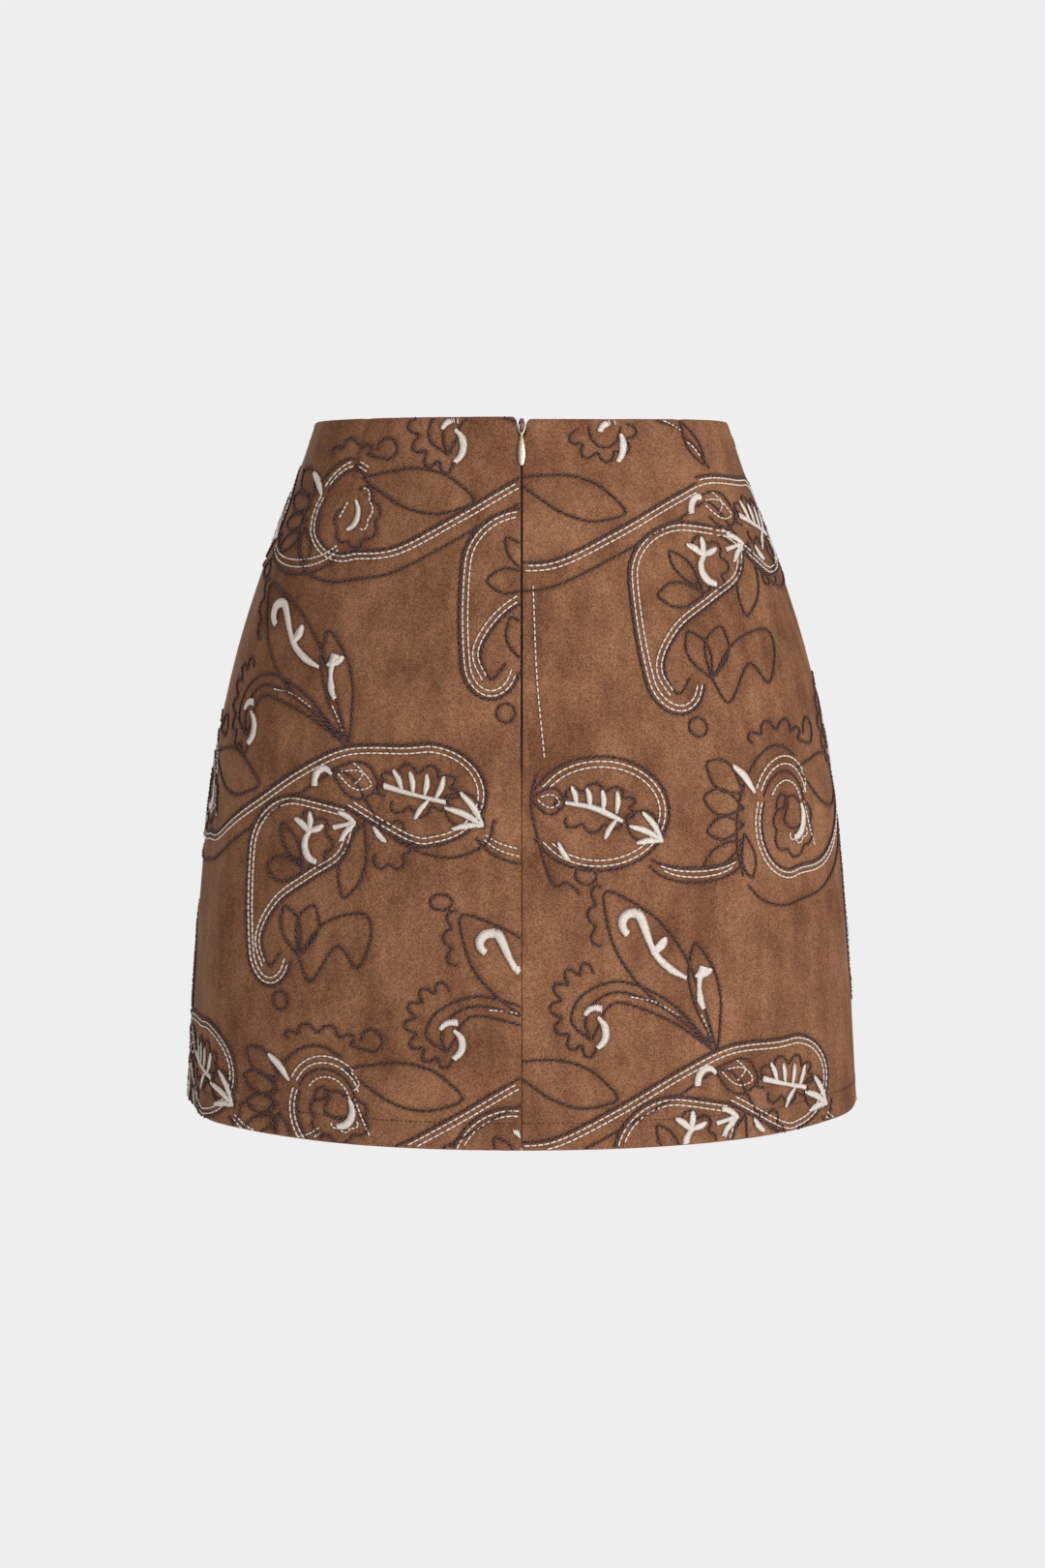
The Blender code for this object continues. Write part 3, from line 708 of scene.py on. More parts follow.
def twistedFinish(name, shadedGroove, litCrest, bloom):
    # two-ply cord, loosely twisted: its colour paints a highlight on each ply's crest and shade in the groove
    # between them
    made, tree = newMaterial(name)
    place = addNode(tree, "UVMap", {"uv_map": "along"}).outputs[0]  # millimetres along, and once round
    parts = addNode(tree, "SeparateXYZ", {}, {0: place})
    turn = addNode(tree, "Math", {"operation": "MULTIPLY", 1: 4 * math.pi}, {0: parts.outputs["Y"]})
    ply = addNode(tree, "Math", {"operation": "COSINE"}, {0: turn.outputs[0]})
    stretched = addNode(tree, "Mapping", {"Scale": (1.0, 9.0, 1.0)}, {"Vector": place})
    fuzz = addNode(tree, "TexNoise", {"Scale": 1.6, "Detail": 3.0, "Roughness": 0.7},
                   {"Vector": stretched.outputs[0]})  # loose fibres of about 0.6 mm
    both = addNode(tree, "Math", {"operation": "MULTIPLY_ADD", 1: 3.0},
                   {0: fuzz.outputs[0], 2: ply.outputs[0]})
    shade = addNode(tree, "MapRange", {"From Min": 0.5, "From Max": 2.9}, {"Value": both.outputs[0]})
    colour = addNode(tree, "Mix", {"data_type": "RGBA", 6: linearColour(shadedGroove), 7: linearColour(litCrest)},
                     {0: shade.outputs[0]})
    bump = addNode(tree, "Bump", {"Strength": 0.5, "Distance": 0.0002}, {"Height": both.outputs[0]})
    return dressShader(made, {
        "Roughness": 0.7, "Specular IOR Level": 0.3, "Sheen Weight": 0.25, "Sheen Roughness": 0.4,
        "Sheen Tint": linearColour(bloom),
    }, {"Base Color": colour.outputs[2], "Normal": bump.outputs[0]})


suede, backing = suedeFinish(), backingFinish()
# the first colour is painted shade in the cord's grooves, the second a painted highlight on its crests, over
# the cord's own dark mauve-brown
cordFinish = twistedFinish("twistedCottonCord", "#24130F", "#7E5F5A", "#8C6A60")
# each thread's first colour is its painted shade between the plies, the second its painted highlight along
# them
creamFinish = threadFinish("creamRayonThread", "#CFBFAF", "#FFFAF3", "#FFFFFF", 0.34, 0.12)
sewingFinish = threadFinish("brownPolyesterThread", "#3A241A", "#54382A", "#8A6A55", 0.6, 0.15)
print("cloth and thread finishes made")


# cords and stitches. A wave along a cord is its size, its rate, and how far and how fast its phase wanders
cordSize = {
    "halfWide": 0.92, "halfThin": 0.46, "turn": 5.2, "flatten": 0.82, "centreLift": 0.34, "sides": 6,
    "twist": (1.1, 0.55, 0.0, 0.0), "pinch": (0.14, 2.3, 1.2, 0.7), "sway": (0.15, 1.9, 1.5, 0.37),
    "endThinner": 0.45, "endReach": 0.4, "phases": 6, "edgeKeep": 0.25, "leastRings": 5,
}
cordStep = {"backLeft": 0.65, "backRight": 0.65, "front": 1.0}
# a thread rises through the cloth, lies on it and goes down again: how far along, how high and how fat
threadForm = {
    "along": [0.0, 0.06, 0.5, 0.94, 1.0], "rise": [-0.2, 0.74, 1.0, 0.74, -0.2], "fat": [0.85, 1.0, 0.85],
    "wide": 1.3, "high": 1.1, "ringsAt": [0.6, 1.3, 2.0], "endAt": 2.6, "uvShift": 60, "edgeKeep": 0.1,
}
stitchSize = {"length": 3.2, "gap": 0.3, "half": 0.4, "arch": 0.46, "start": 0.4, "uneven": 0.12, "read": 0.8}
shortStitch = {"length": 2.2, "gap": 0.5, "read": 0.5}
satinSize = {
    "spacing": 0.52, "half": 0.3, "trim": 0.74, "leafTrim": 0.62, "slant": 0.2, "leafSlant": 0.85,
    "longer": 0.38, "shorter": -0.05, "uneven": 0.12, "arch": 0.62, "archGrows": 0.07, "leafArch": 0.85,
    "leafBend": 0.06, "leafFrom": 0.06, "leafSpan": 0.86, "leafFullest": 1.15, "leafBlunt": 0.8,
}
besideZip = {"path": [(6, 92), (8, 142), (12, 186)], "length": 2.6, "gap": 0.85}
sewing = {"length": 1.5, "gap": 1.1, "half": 0.2, "arch": 0.05, "reach": 270}
rng = np.random.default_rng(7)


def runsOf(keep, least):
    edges = np.flatnonzero(np.diff(np.concatenate([[0], keep.astype(int), [0]])))
    return [(a, b) for a, b in zip(edges[::2], edges[1::2]) if b - a >= least]


def unitRows(v):
    return v / (np.linalg.norm(v, axis=-1, keepdims=True) + 1e-12)


def gridQuads(index, turned=False):
    # the faces between the points of a grid, turned for a face that looks the other way
    a, b, c, d = index[:-1, :-1], index[1:, :-1], index[1:, 1:], index[:-1, 1:]
    return np.stack([a, d, c, b] if turned else [a, b, c, d], -1).reshape(-1, 4)


def wave(walked, start, size, rate, wander, wanderRate):
    return size * np.sin(walked * rate + start + wander * np.sin(walked * wanderRate))


def cordRings(panel, x, drop):
    # a twisted cord is a flat oval section that turns as it runs: its rings of points, and how far along
    # each of them lies
    middle, normal = surfaceFrame(panel, x, drop, cordSize["centreLift"])
    across = unitRows(np.cross(unitRows(np.gradient(middle, axis=0)), normal))
    walked = lengthAlong(middle)
    start = rng.uniform(0, cordSize["phases"])
    twist = walked * 2 * math.pi / cordSize["turn"] + start + wave(walked, start, *cordSize["twist"])
    nearEnd = np.minimum(walked, walked[-1] - walked) < cordSize["endReach"]
    thin = (1 + wave(walked, 2 * start, *cordSize["pinch"])) * (1 - cordSize["endThinner"] * nearEnd)
    middle = middle + across * wave(walked, 3 * start, *cordSize["sway"])[:, None]
    spin = np.arange(cordSize["sides"]) * 2 * math.pi / cordSize["sides"]
    u = cordSize["halfWide"] * np.cos(spin)[None, :] * thin[:, None]
    v = cordSize["halfThin"] * np.sin(spin)[None, :] * thin[:, None]
    turned = u * np.cos(twist)[:, None] - v * np.sin(twist)[:, None]
    raised = (u * np.sin(twist)[:, None] + v * np.cos(twist)[:, None]) * cordSize["flatten"]
    return middle[:, None] + across[:, None] * turned[..., None] + normal[:, None] * raised[..., None], walked


def buildCords(name, panelName, paths):
    panel, sides = panels[panelName], cordSize["sides"]
    points, loops, counts, uvs = [], [], [], []
    count = 0
    for path in paths:
        x, drop, keep = placeOnPanel(panel, path, cordSize["edgeKeep"])
        for a, b in runsOf(keep, cordSize["leastRings"]):
            rings, walked = cordRings(panel, x[a:b], drop[a:b])
            index = count + np.arange(len(rings) * sides).reshape(-1, sides)
            quads = gridQuads(np.hstack([index, index[:, :1]]))
            spots = np.stack(np.broadcast_arrays(walked[:, None], np.arange(sides + 1) / sides), -1)
            corners = gridQuads(np.arange(len(rings) * (sides + 1)).reshape(-1, sides + 1))
            points.append(rings.reshape(-1, 3))
            loops += [quads.ravel(), index[0], index[-1][::-1]]
            counts += [np.full(len(quads), 4), [sides, sides]]
            uvs += [spots.reshape(-1, 2)[corners.ravel()], np.zeros((2 * sides, 2))]
            count += len(rings) * sides
    made = fillMesh(name, np.vstack(points), np.concatenate(loops), np.concatenate(counts).astype(int),
                    [cordFinish], np.vstack(uvs))
    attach(made, "skirt")
    return made


def threadFaces():
    # a thread is a point, three rings of four and a point: the corners of its eight end faces and eight sides
    side = np.arange(4)
    after, first, last = (side + 1) % 4, np.zeros(4, int), np.full(4, 13)
    ends = [np.stack([first, 1 + side, 1 + after], 1), np.stack([last, 9 + after, 9 + side], 1)]
    sides = [np.stack([k + side, k + 4 + side, k + 4 + after, k + after], 1) for k in (1, 5)]
    return np.concatenate([faces.ravel() for faces in ends + sides]), [3] * 8 + [4] * 8


def buildThreads(name, panelName, ends, halves, arches, finish):
    panel, number = panels[panelName], len(ends)
    stations, rise = np.array(threadForm["along"]), np.array(threadForm["rise"])
    flat = ends[:, None, :2] * (1 - stations[None, :, None]) + ends[:, None, 2:] * stations[None, :, None]
    x, drop, keep = placeOnPanel(panel, flat.reshape(-1, 2), threadForm["edgeKeep"])
    keep = keep.reshape(number, -1).all(1)
    x, drop = x.reshape(number, -1)[keep], drop.reshape(number, -1)[keep]
    halves, arches = np.broadcast_to(halves, number)[keep], np.broadcast_to(arches, number)[keep]
    number = len(x)
    base, normal = surfaceFrame(panel, x.ravel(), drop.ravel(), 0.0)
    base, normal = base.reshape(number, -1, 3), normal.reshape(number, -1, 3)
    middle = base + normal * (rise * arches[:, None])[..., None]
    along = unitRows(base[:, -1] - base[:, 0])[:, None]
    across = unitRows(np.cross(np.broadcast_to(along, normal.shape), normal))
    fat = (np.array(threadForm["fat"]) * halves[:, None])[..., None]
    spin = np.array([0.25, 0.75, 1.25, 1.75]) * math.pi
    ring = (middle[:, 1:4, None] + across[:, 1:4, None] * (fat * np.cos(spin) * threadForm["wide"])[..., None]
            + normal[:, 1:4, None] * (fat * np.sin(spin) * threadForm["high"])[..., None])
    points = np.concatenate([middle[:, :1], ring.reshape(number, -1, 3), middle[:, 4:]], 1)
    corners, counts = threadFaces()
    loops = (np.arange(number)[:, None] * points.shape[1] + corners[None, :]).ravel()
    alongAt = np.concatenate([[0.0], np.repeat(threadForm["ringsAt"], 4), [threadForm["endAt"]]])
    roundAt = np.concatenate([[0.0], np.tile(np.arange(4), 3), [0.0]])
    uv = np.stack([alongAt[corners][None, :] + rng.uniform(0, threadForm["uvShift"], number)[:, None],
                   np.broadcast_to(roundAt[corners], (number, len(corners)))], -1)
    made = fillMesh(name, points.reshape(-1, 3), loops, np.tile(counts, number), [finish], uv.reshape(-1, 2))
    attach(made, "skirt")
    return made


def runningStitches(path, offset, length, gap):
    # the two ends of each stitch along a path, moved to its side
    line = path + pathNormals(path) * offset
    walked = lengthAlong(line)
    starts = np.arange(stitchSize["start"], walked[-1] - length, length + gap)
    if not len(starts):
        return np.zeros((0, 4))
    starts = starts + rng.uniform(-stitchSize["uneven"], stitchSize["uneven"], len(starts))
    return np.stack([np.interp(at, walked, line[:, way])
                     for at in (starts, starts + length) for way in (0, 1)], 1)


def satinThreads(path, widths, slant):
    # threads laid side by side across a band, each other one a little longer, like a comb
    right = pathNormals(path)
    along = np.stack([right[:, 1], -right[:, 0]], 1)
    number = len(path)
    comb = np.where(np.arange(number) % 2, satinSize["longer"], satinSize["shorter"])
    uneven = comb + rng.uniform(-satinSize["uneven"], satinSize["uneven"], number)
    reach = (np.asarray(widths) / 2 + uneven)[:, None]
    lean = along * slant * reach
    return np.hstack([path - right * reach - lean, path + right * reach + lean])


def leafThreads(base, tip, width):
    bend = np.array([-(tip - base)[1], (tip - base)[0]]) * satinSize["leafBend"]
    path = smoothPath([base, (base + tip) / 2 + bend, tip], satinSize["spacing"])
    share = np.linspace(0, 1, len(path)) ** satinSize["leafFullest"]
    # fullest near the middle, with blunt ends
    swell = np.sin(math.pi * (satinSize["leafFrom"] + satinSize["leafSpan"] * share))
    widths = width * swell ** satinSize["leafBlunt"]
    return satinThreads(path, widths, satinSize["leafSlant"])


def layOut(points, lay, peak, step):
    # a stroke of the repeat where the plan puts it
    return smoothPath(np.array(points, float) @ lay.T + peak, step)


def stitchPattern(panelName):
    # every stroke of the repeats that a panel carries, in flat pattern millimetres
    cords, running, satin, heights = [], [], [], []
    for x, y, motifs, *askew in embroideryPlan[panelName]:
        peak, lay = (x, y), np.array(askew[0] if askew else (1, 0, 0, 1), float).reshape(2, 2)
        for drawn in motifs:
            cords += [layOut(path, lay, peak, cordStep[panelName]) for path in drawn["cord"]]
            for path, *offsets in drawn["double"]:
                line = layOut(path, lay, peak, stitchSize["read"])
                running += [runningStitches(line, offset, stitchSize["length"], stitchSize["gap"])
                            for offset in offsets]
            for path in drawn["single"]:
                line = layOut(path, lay, peak, shortStitch["read"])
                running.append(runningStitches(line, 0.0, shortStitch["length"], shortStitch["gap"]))
            for path, widths in drawn["satin"]:
                line = layOut(path, lay, peak, satinSize["spacing"])
                wide = np.interp(np.linspace(0, 1, len(line)), np.linspace(0, 1, len(widths)), widths)
                satin.append(satinThreads(line, wide * satinSize["trim"], satinSize["slant"]))
                heights.append(satinSize["arch"] + satinSize["archGrows"] * wide)
            for base, tip, width in drawn["leaf"]:
                base, tip = np.array([base, tip], float) @ lay.T + peak
                satin.append(leafThreads(base, tip, width * satinSize["leafTrim"]))
                heights.append(np.full(len(satin[-1]), satinSize["leafArch"]))
    if panelName == "backRight":
        line = smoothPath(besideZip["path"], stitchSize["read"])
        running.append(runningStitches(line, 0, besideZip["length"], besideZip["gap"]))
    return cords, np.vstack(running), np.vstack(satin), np.concatenate(heights)


def hemStitches(panel):
    across = np.arange(-sewing["reach"], sewing["reach"], sewing["length"] + sewing["gap"])
    row = np.full(len(across), panel["chart"]["downs"][-1] - form["hemDepth"])
    return np.stack([across, row, across + sewing["length"], row], 1)


def embroider(panelName):
    # the panel's cords and stitches, and where on its chart they touch the cloth
    cords, running, satin, heights = stitchPattern(panelName)
    if panelName == "front":  # twice as wide, so its cords are two pieces
        halfway = (len(cords) + 1) // 2
        made = [buildCords("frontCordA", panelName, cords[:halfway]),
                buildCords("frontCordB", panelName, cords[halfway:])]
    else:
        made = [buildCords(panelName + "Cord", panelName, cords)]
    made.append(buildThreads(panelName + "RunningStitch", panelName, running, stitchSize["half"],
                             stitchSize["arch"], creamFinish))
    made.append(buildThreads(panelName + "SatinStitch", panelName, satin, satinSize["half"], heights,
                             creamFinish))
    hem = hemStitches(panels[panelName])
    made.append(buildThreads(panelName + "HemStitch", panelName, hem, sewing["half"], sewing["arch"],
                             sewingFinish))
    marks = np.vstack(cords + [running[:, :2], running[:, 2:], satin[:, :2], satin[:, 2:]])
    x, drop, keep = placeOnPanel(panels[panelName], marks, 0.0)
    print(panelName, "embroidery:", [len(piece.data.polygons) for piece in made])
    return made, np.stack([x, drop], 1)[keep]


embroidered, stitchMarks = {}, {}
for panelName in panels:
    embroidered[panelName], stitchMarks[panelName] = embroider(panelName)


# the cloth: a fine outer face with the stitches' pull, and a plain inner face a wall's thickness behind
clothDetail = {
    # a soft dent or ridge is how high, how far from its stitch or line and how wide
    "pull": (-0.26, 0.0, 1.3), "puff": (0.14, 4.2, 1.9), "hemDent": (-0.3, 0.0, 1.1),
    "hemPuff": (0.12, 3.0, 2.0),
    # the reach after the turnings is how far from a stitch the painted shade on the cloth spreads
    "turningHigh": 0.28, "turningFrom": 8.5, "turningTo": 11.5, "turningFade": 20, "stitchShadeReach": 1.1,
    # the mesh: drops of the top rows, then even rows that stop above the hem's stitches, then the hem's own
    "topRows": [0, 0.5, 1.2, 2.2, 3.4, 4.8, 6.4, 8, 9.6, 11.2, 13], "rowsFrom": 14.8, "rowPitch": 1.8,
    "rowsStop": 1.4, "hemLineRows": [-0.9, 0, 0.9], "hemSpan": (12.2, 2.2, 7), "lastRows": [1.2, 0.5, 0],
    "edgeColumns": [0.0, 0.3, 0.75, 1.5], "freeColumns": 3, "keptAtTop": 12, "keptAtHem": 14, "innerEvery": 4,
}


def dent(away, high, middle, wide):
    return high * np.exp(-(((away - middle) / wide) ** 2))


def clothRows(panelName):
    # drops of the mesh's rows, closer together at the waist, at the hem's stitches and at the hem
    length, hemLine = form["length"], form["length"] - form["hemDepth"]
    far, near, number = clothDetail["hemSpan"]
    rows = np.concatenate([
        clothDetail["topRows"],
        np.arange(clothDetail["rowsFrom"], hemLine - clothDetail["rowsStop"], clothDetail["rowPitch"]),
        hemLine + np.array(clothDetail["hemLineRows"]),
        np.linspace(length - far, length - near, number),
        length - np.array(clothDetail["lastRows"]),
    ])
    if panelName != "front":
        return rows
    # the front has every other row between
    top, hem = clothDetail["keptAtTop"], clothDetail["keptAtHem"]
    return np.unique(np.round(np.concatenate([rows[:top], rows[top:-hem:2], rows[-hem:]]), 3))


def clothColumns(panel):
    # each column is a length from one edge and a share of the panel's width
    low, high = panelEdges(panel, form["length"])
    number = int(round((high - low) / panel["pitch"]))
    near, free = clothDetail["edgeColumns"], clothDetail["freeColumns"]
    columns = [(e, 0.0) for e in near] + [(0.0, k / number) for k in range(free, number - free + 1)]
    return np.array(columns + [(-e, 1.0) for e in reversed(near)])


def nearestStitch(marks, x, drop):
    tree = KDTree(len(marks))
    for k, (markX, markDrop) in enumerate(marks):
        tree.insert((markX, markDrop, 0), k)
    tree.balance()
    return np.array([tree.find((a, b, 0))[2] for a, b in zip(x.ravel(), drop.ravel())]).reshape(x.shape)


def clothLift(panel, x, drop, away):
    # how far the outer face stands off the plain form
    lift = rolledEdge(panel, x, drop) + dent(away, *clothDetail["pull"]) + dent(away, *clothDetail["puff"])
    belowLine = drop - (form["length"] - form["hemDepth"])
    lift = lift + dent(belowLine, *clothDetail["hemDent"]) + dent(belowLine, *clothDetail["hemPuff"])
    if panel["side"]:  # the centre seam's turnings show through a little
        pressed = smoothStep(form["zipLength"], form["zipLength"] + clothDetail["turningFade"], drop)
        beside = 1 - smoothStep(clothDetail["turningFrom"], clothDetail["turningTo"], np.abs(x))
        lift = lift + clothDetail["turningHigh"] * pressed * beside
    return lift


def everyFew(number):
    # positions a few apart, with the last one
    return np.unique(np.concatenate([np.arange(0, number, clothDetail["innerEvery"]), [number - 1]]))


def clothRims(front, back, rowsAt, columnsAt):
    # faces that close the wall at its four edges, each from one inner step to the next
    rims = []
    for k in range(len(rowsAt) - 1):
        span = range(rowsAt[k], rowsAt[k + 1] + 1)
        rims.append([back[k, 0], back[k + 1, 0]] + [front[r, 0] for r in reversed(span)])
        rims.append([back[k + 1, -1], back[k, -1]] + [front[r, -1] for r in span])
    for k in range(len(columnsAt) - 1):
        span = range(columnsAt[k], columnsAt[k + 1] + 1)
        rims.append([back[0, k + 1], back[0, k]] + [front[0, c] for c in span])
        rims.append([back[-1, k], back[-1, k + 1]] + [front[-1, c] for c in reversed(span)])
    return rims


def buildCloth(panelName):
    panel = panels[panelName]
    rows, columns = clothRows(panelName), clothColumns(panel)
    low, high = panelEdges(panel, rows)
    x = low[:, None] + columns[None, :, 0] + (high - low)[:, None] * columns[None, :, 1]
    drop = np.broadcast_to(rows[:, None], x.shape)
    away = nearestStitch(stitchMarks[panelName], x, drop)
    angle = fromChart(panel["chart"], x, drop)
    outer, _ = skinPoints(angle, drop, clothLift(panel, x, drop, away))
    rowsAt, columnsAt = everyFew(len(rows)), everyFew(len(columns))
    innerAt = np.ix_(rowsAt, columnsAt)
    inner, _ = skinPoints(angle[innerAt], drop[innerAt], -wallAt(drop[innerAt]))
    front = np.arange(x.size).reshape(x.shape)
    back = x.size + np.arange(len(rowsAt) * len(columnsAt)).reshape(len(rowsAt), -1)
    outside, inside, rims = gridQuads(front), gridQuads(back, True), clothRims(front, back, rowsAt, columnsAt)
    loops = np.concatenate([outside.ravel(), inside.ravel()] + [np.array(rim) for rim in rims])
    counts = np.array([4] * (len(outside) + len(inside)) + [len(rim) for rim in rims])
    slots = np.array([0] * len(outside) + [1] * len(inside) + [0] * len(rims))
    points = np.vstack([outer.reshape(-1, 3), inner.reshape(-1, 3)])
    made = fillMesh(panelName + "Cloth", points, loops, counts, [suede, backing], None, slots)
    # painted shade beside the stitches: how strongly the outer face's colour is darkened there, kept on its
    # points
    beside = made.data.attributes.new("paintedShadeBesideStitch", "FLOAT", "POINT")
    paintedStitchShade = np.zeros(len(points))
    paintedStitchShade[: x.size] = dent(away.ravel(), 1.0, 0.0, clothDetail["stitchShadeReach"])
    beside.data.foreach_set("value", paintedStitchShade)
    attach(made, "skirt")
    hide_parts(panel["node"])
    area = float(np.trapz(high - low, rows)) * mm * mm
    wide = float((high - low).max()) * mm
    print(panelName, "cloth:", len(counts), "faces, area", round(area, 4), "widest", round(wide, 4))
    return made, wide, area


# the turnings inside, beside the centre back and side seams: strips of the same cloth
turning = {
    "wall": 0.8, "behind": 0.15, "centreHalf": 13.0, "sideHalf": 9.0, "cell": 5.0, "centreTop": 187,
    "sideTop": 1.5, "bottom": 384,
}
turnings = {name: [] for name in panels}


def buildStrip(name, panelName, edges, top):
    # a thin closed strip behind the cloth between two chart edges, from one drop to the bottom
    rows = np.linspace(top, turning["bottom"], max(3, int((turning["bottom"] - top) / turning["cell"]) + 1))
    low, high = edges(rows)
    share = np.linspace(0, 1, max(3, int(float((high - low).max()) / turning["cell"]) + 1))
    x = low[:, None] + (high - low)[:, None] * share[None, :]
    drop = np.broadcast_to(rows[:, None], x.shape)
    angle = fromChart(panels[panelName]["chart"], x, drop)
    behind = wallAt(drop) + turning["behind"]
    outer, _ = skinPoints(angle, drop, -behind)
    inner, _ = skinPoints(angle, drop, -behind - turning["wall"])
    front = np.arange(x.size).reshape(x.shape)
    back = front + x.size
    quads = np.vstack([
        gridQuads(front),
        gridQuads(back, True),
        np.stack([front[:-1, 0], back[:-1, 0], back[1:, 0], front[1:, 0]], -1),
        np.stack([front[1:, -1], back[1:, -1], back[:-1, -1], front[:-1, -1]], -1),
        np.stack([front[0, 1:], back[0, 1:], back[0, :-1], front[0, :-1]], -1),
        np.stack([front[-1, :-1], back[-1, :-1], back[-1, 1:], front[-1, 1:]], -1),
    ])
    made = fillMesh(name, np.vstack([outer.reshape(-1, 3), inner.reshape(-1, 3)]), quads.ravel(),
                    np.full(len(quads), 4), [suede])
    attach(made, "skirt")
    turnings[panelName].append(made)


def centreEdges(rows):
    return np.full(len(rows), -turning["centreHalf"]), np.full(len(rows), turning["centreHalf"])


def sideEdges(sign):
    def edges(rows):
        seam = toChart(backChart, sign * 90.0, rows)
        return seam - turning["sideHalf"], seam + turning["sideHalf"]
    return edges


buildStrip("centreBackTurnings", "backRight", centreEdges, turning["centreTop"])
buildStrip("leftSideTurnings", "backLeft", sideEdges(-1), turning["sideTop"])
buildStrip("rightSideTurnings", "backRight", sideEdges(1), turning["sideTop"])
print("turnings made")


for panelName in panels:
    cloth, wide, area = buildCloth(panelName)


# zip: coil, slider, bail and pull. A drawn form's rows are down, half width, half thickness and how far out
pull = {
    "leaf": [(5.0, 0.6, 0.35, 0.0), (5.4, 0.85, 0.45, 0.0), (6.2, 0.95, 0.5, 0.0), (7.6, 1.35, 0.62, 0.02),
             (10.5, 1.95, 0.8, 0.05), (14.0, 2.3, 0.9, 0.08), (17.5, 2.2, 0.8, 0.06), (20.0, 1.6, 0.55, 0.03),
             (21.3, 0.9, 0.36, 0.0), (21.7, 0.4, 0.2, 0.0)],
    "knob": [(3.7, 0.5, 0.4, 0.0), (4.0, 0.95, 0.55, 0.0), (4.6, 1.05, 0.6, 0.0), (5.1, 0.75, 0.5, 0.0),
             (5.3, 0.5, 0.35, 0.0)],
    "sides": 12, "ringHalf": 1.55, "ringLong": 2.35, "ringWire": 0.36, "ringDown": 1.75, "ringDeep": 1.15,
    "pivotDrop": 5.0, "tipDrop": 26.7, "pivotOut": 0.9,
}


def pullFrame():
    top, _ = skinPoints(np.array([0.0]), np.array([pull["pivotDrop"]]))
    tip, _ = skinPoints(np.array([0.0]), np.array([pull["tipDrop"]]))
    top, tip = Vector(top[0]), Vector(tip[0])
    down = (tip - top).normalized()
    out = Vector((1, 0, 0)).cross(down).normalized()
    out = out if out.y < 0 else -out
    origin = (top + out * pull["pivotOut"]) * mm
    turned = Matrix((down.cross(out), down, out)).transposed().to_4x4()
    return Matrix.Translation(origin) @ turned @ Matrix.Scale(mm, 4)


zipPlace = pullFrame()  # millimetres across, down the cloth and out of it, from the pull's pivot


def metalFinish(name, colour, worn, metallic, roughness):
    # cast zinc, plated or painted: smooth, with its coat rubbed thin by handling in spots of about 1 mm
    made, tree = newMaterial(name)
    place = addNode(tree, "TexCoord").outputs["Object"]
    cloud = addNode(tree, "TexNoise", {"Scale": 900.0, "Detail": 4.0, "Roughness": 0.6}, {"Vector": place})
    shade = addNode(tree, "MapRange", {"From Min": 0.4, "From Max": 0.7}, {"Value": cloud.outputs[0]})
    mixed = addNode(tree, "Mix", {"data_type": "RGBA", 6: linearColour(colour), 7: linearColour(worn)},
                    {0: shade.outputs[0]})
    bump = addNode(tree, "Bump", {"Strength": 0.12, "Distance": 0.0001}, {"Height": cloud.outputs[0]})
    return dressShader(made, {"Metallic": metallic, "Roughness": roughness},
                       {"Base Color": mixed.outputs[2], "Normal": bump.outputs[0]})


paleBrass = metalFinish("antiquePaleBrass", "#CFBDA2", "#F2E8D6", 1.0, 0.3)
paintedZinc = metalFinish("paintedMauveBrownZinc", "#6A4A44", "#8B6A60", 0.15, 0.42)


def beginPiece(name):
    bpy.ops.object.select_all(action="DESELECT")
    made = bpy.context.object
    made.name = name
    made.data.name = name
    made.select_set(True)
    return made


def settle(piece, place, material):
    # puts a finished piece where it belongs, with its place in its mesh
    bpy.ops.object.select_all(action="DESELECT")
    piece.select_set(True)
    bpy.context.view_layer.objects.active = piece
    piece.matrix_world = place @ piece.matrix_world
    bpy.ops.object.transform_apply(location=True, rotation=True, scale=True)
    piece.data.materials.clear()
    piece.data.materials.append(material)
    return piece


def resizeAll(value, centre):
    bpy.ops.object.mode_set(mode="EDIT")
    bpy.ops.mesh.select_all(action="SELECT")
    bpy.ops.transform.resize(value=value, center_override=centre)
    bpy.ops.object.mode_set(mode="OBJECT")


def faceOutwards():
    # leaves edit mode with every face pointing outwards
    bpy.ops.mesh.select_all(action="SELECT")
    bpy.ops.mesh.normals_make_consistent(inside=False)
    bpy.ops.object.mode_set(mode="OBJECT")


def drawnForm(name, sides, rows):
    # a round form drawn out by extruding its end again and again, then smoothed
    down, wide, thick, out = rows[0]
    bpy.ops.mesh.primitive_circle_add(vertices=sides, radius=1.0, fill_type="NGON", location=(0, down, out),
                                      rotation=(math.pi / 2, 0, 0))
    piece = beginPiece(name)
    bpy.ops.object.transform_apply(location=True, rotation=True, scale=True)
    bpy.ops.object.mode_set(mode="EDIT")
    bpy.ops.mesh.select_all(action="SELECT")
    bpy.ops.transform.resize(value=(wide, 1, thick), center_override=(0, down, out))
    for before, row in zip(rows, rows[1:]):
        bpy.ops.mesh.extrude_region_move(
            TRANSFORM_OT_translate={"value": (0, row[0] - before[0], row[3] - before[3])})
        bpy.ops.transform.resize(value=(row[1] / before[1], 1, row[2] / before[2]),
                                 center_override=(0, row[0], row[3]))
    faceOutwards()
    rounded = piece.modifiers.new("rounded", "SUBSURF")
    rounded.levels = rounded.render_levels = 2
    bpy.ops.object.modifier_apply(modifier=rounded.name)
    bpy.ops.object.shade_smooth()
    return piece


def joinPieces(pieces, name):
    bpy.ops.object.select_all(action="DESELECT")
    for piece in pieces:
        piece.select_set(True)
    bpy.context.view_layer.objects.active = pieces[0]
    bpy.ops.object.join()
    pieces[0].name = name
    pieces[0].data.name = name
    return pieces[0]


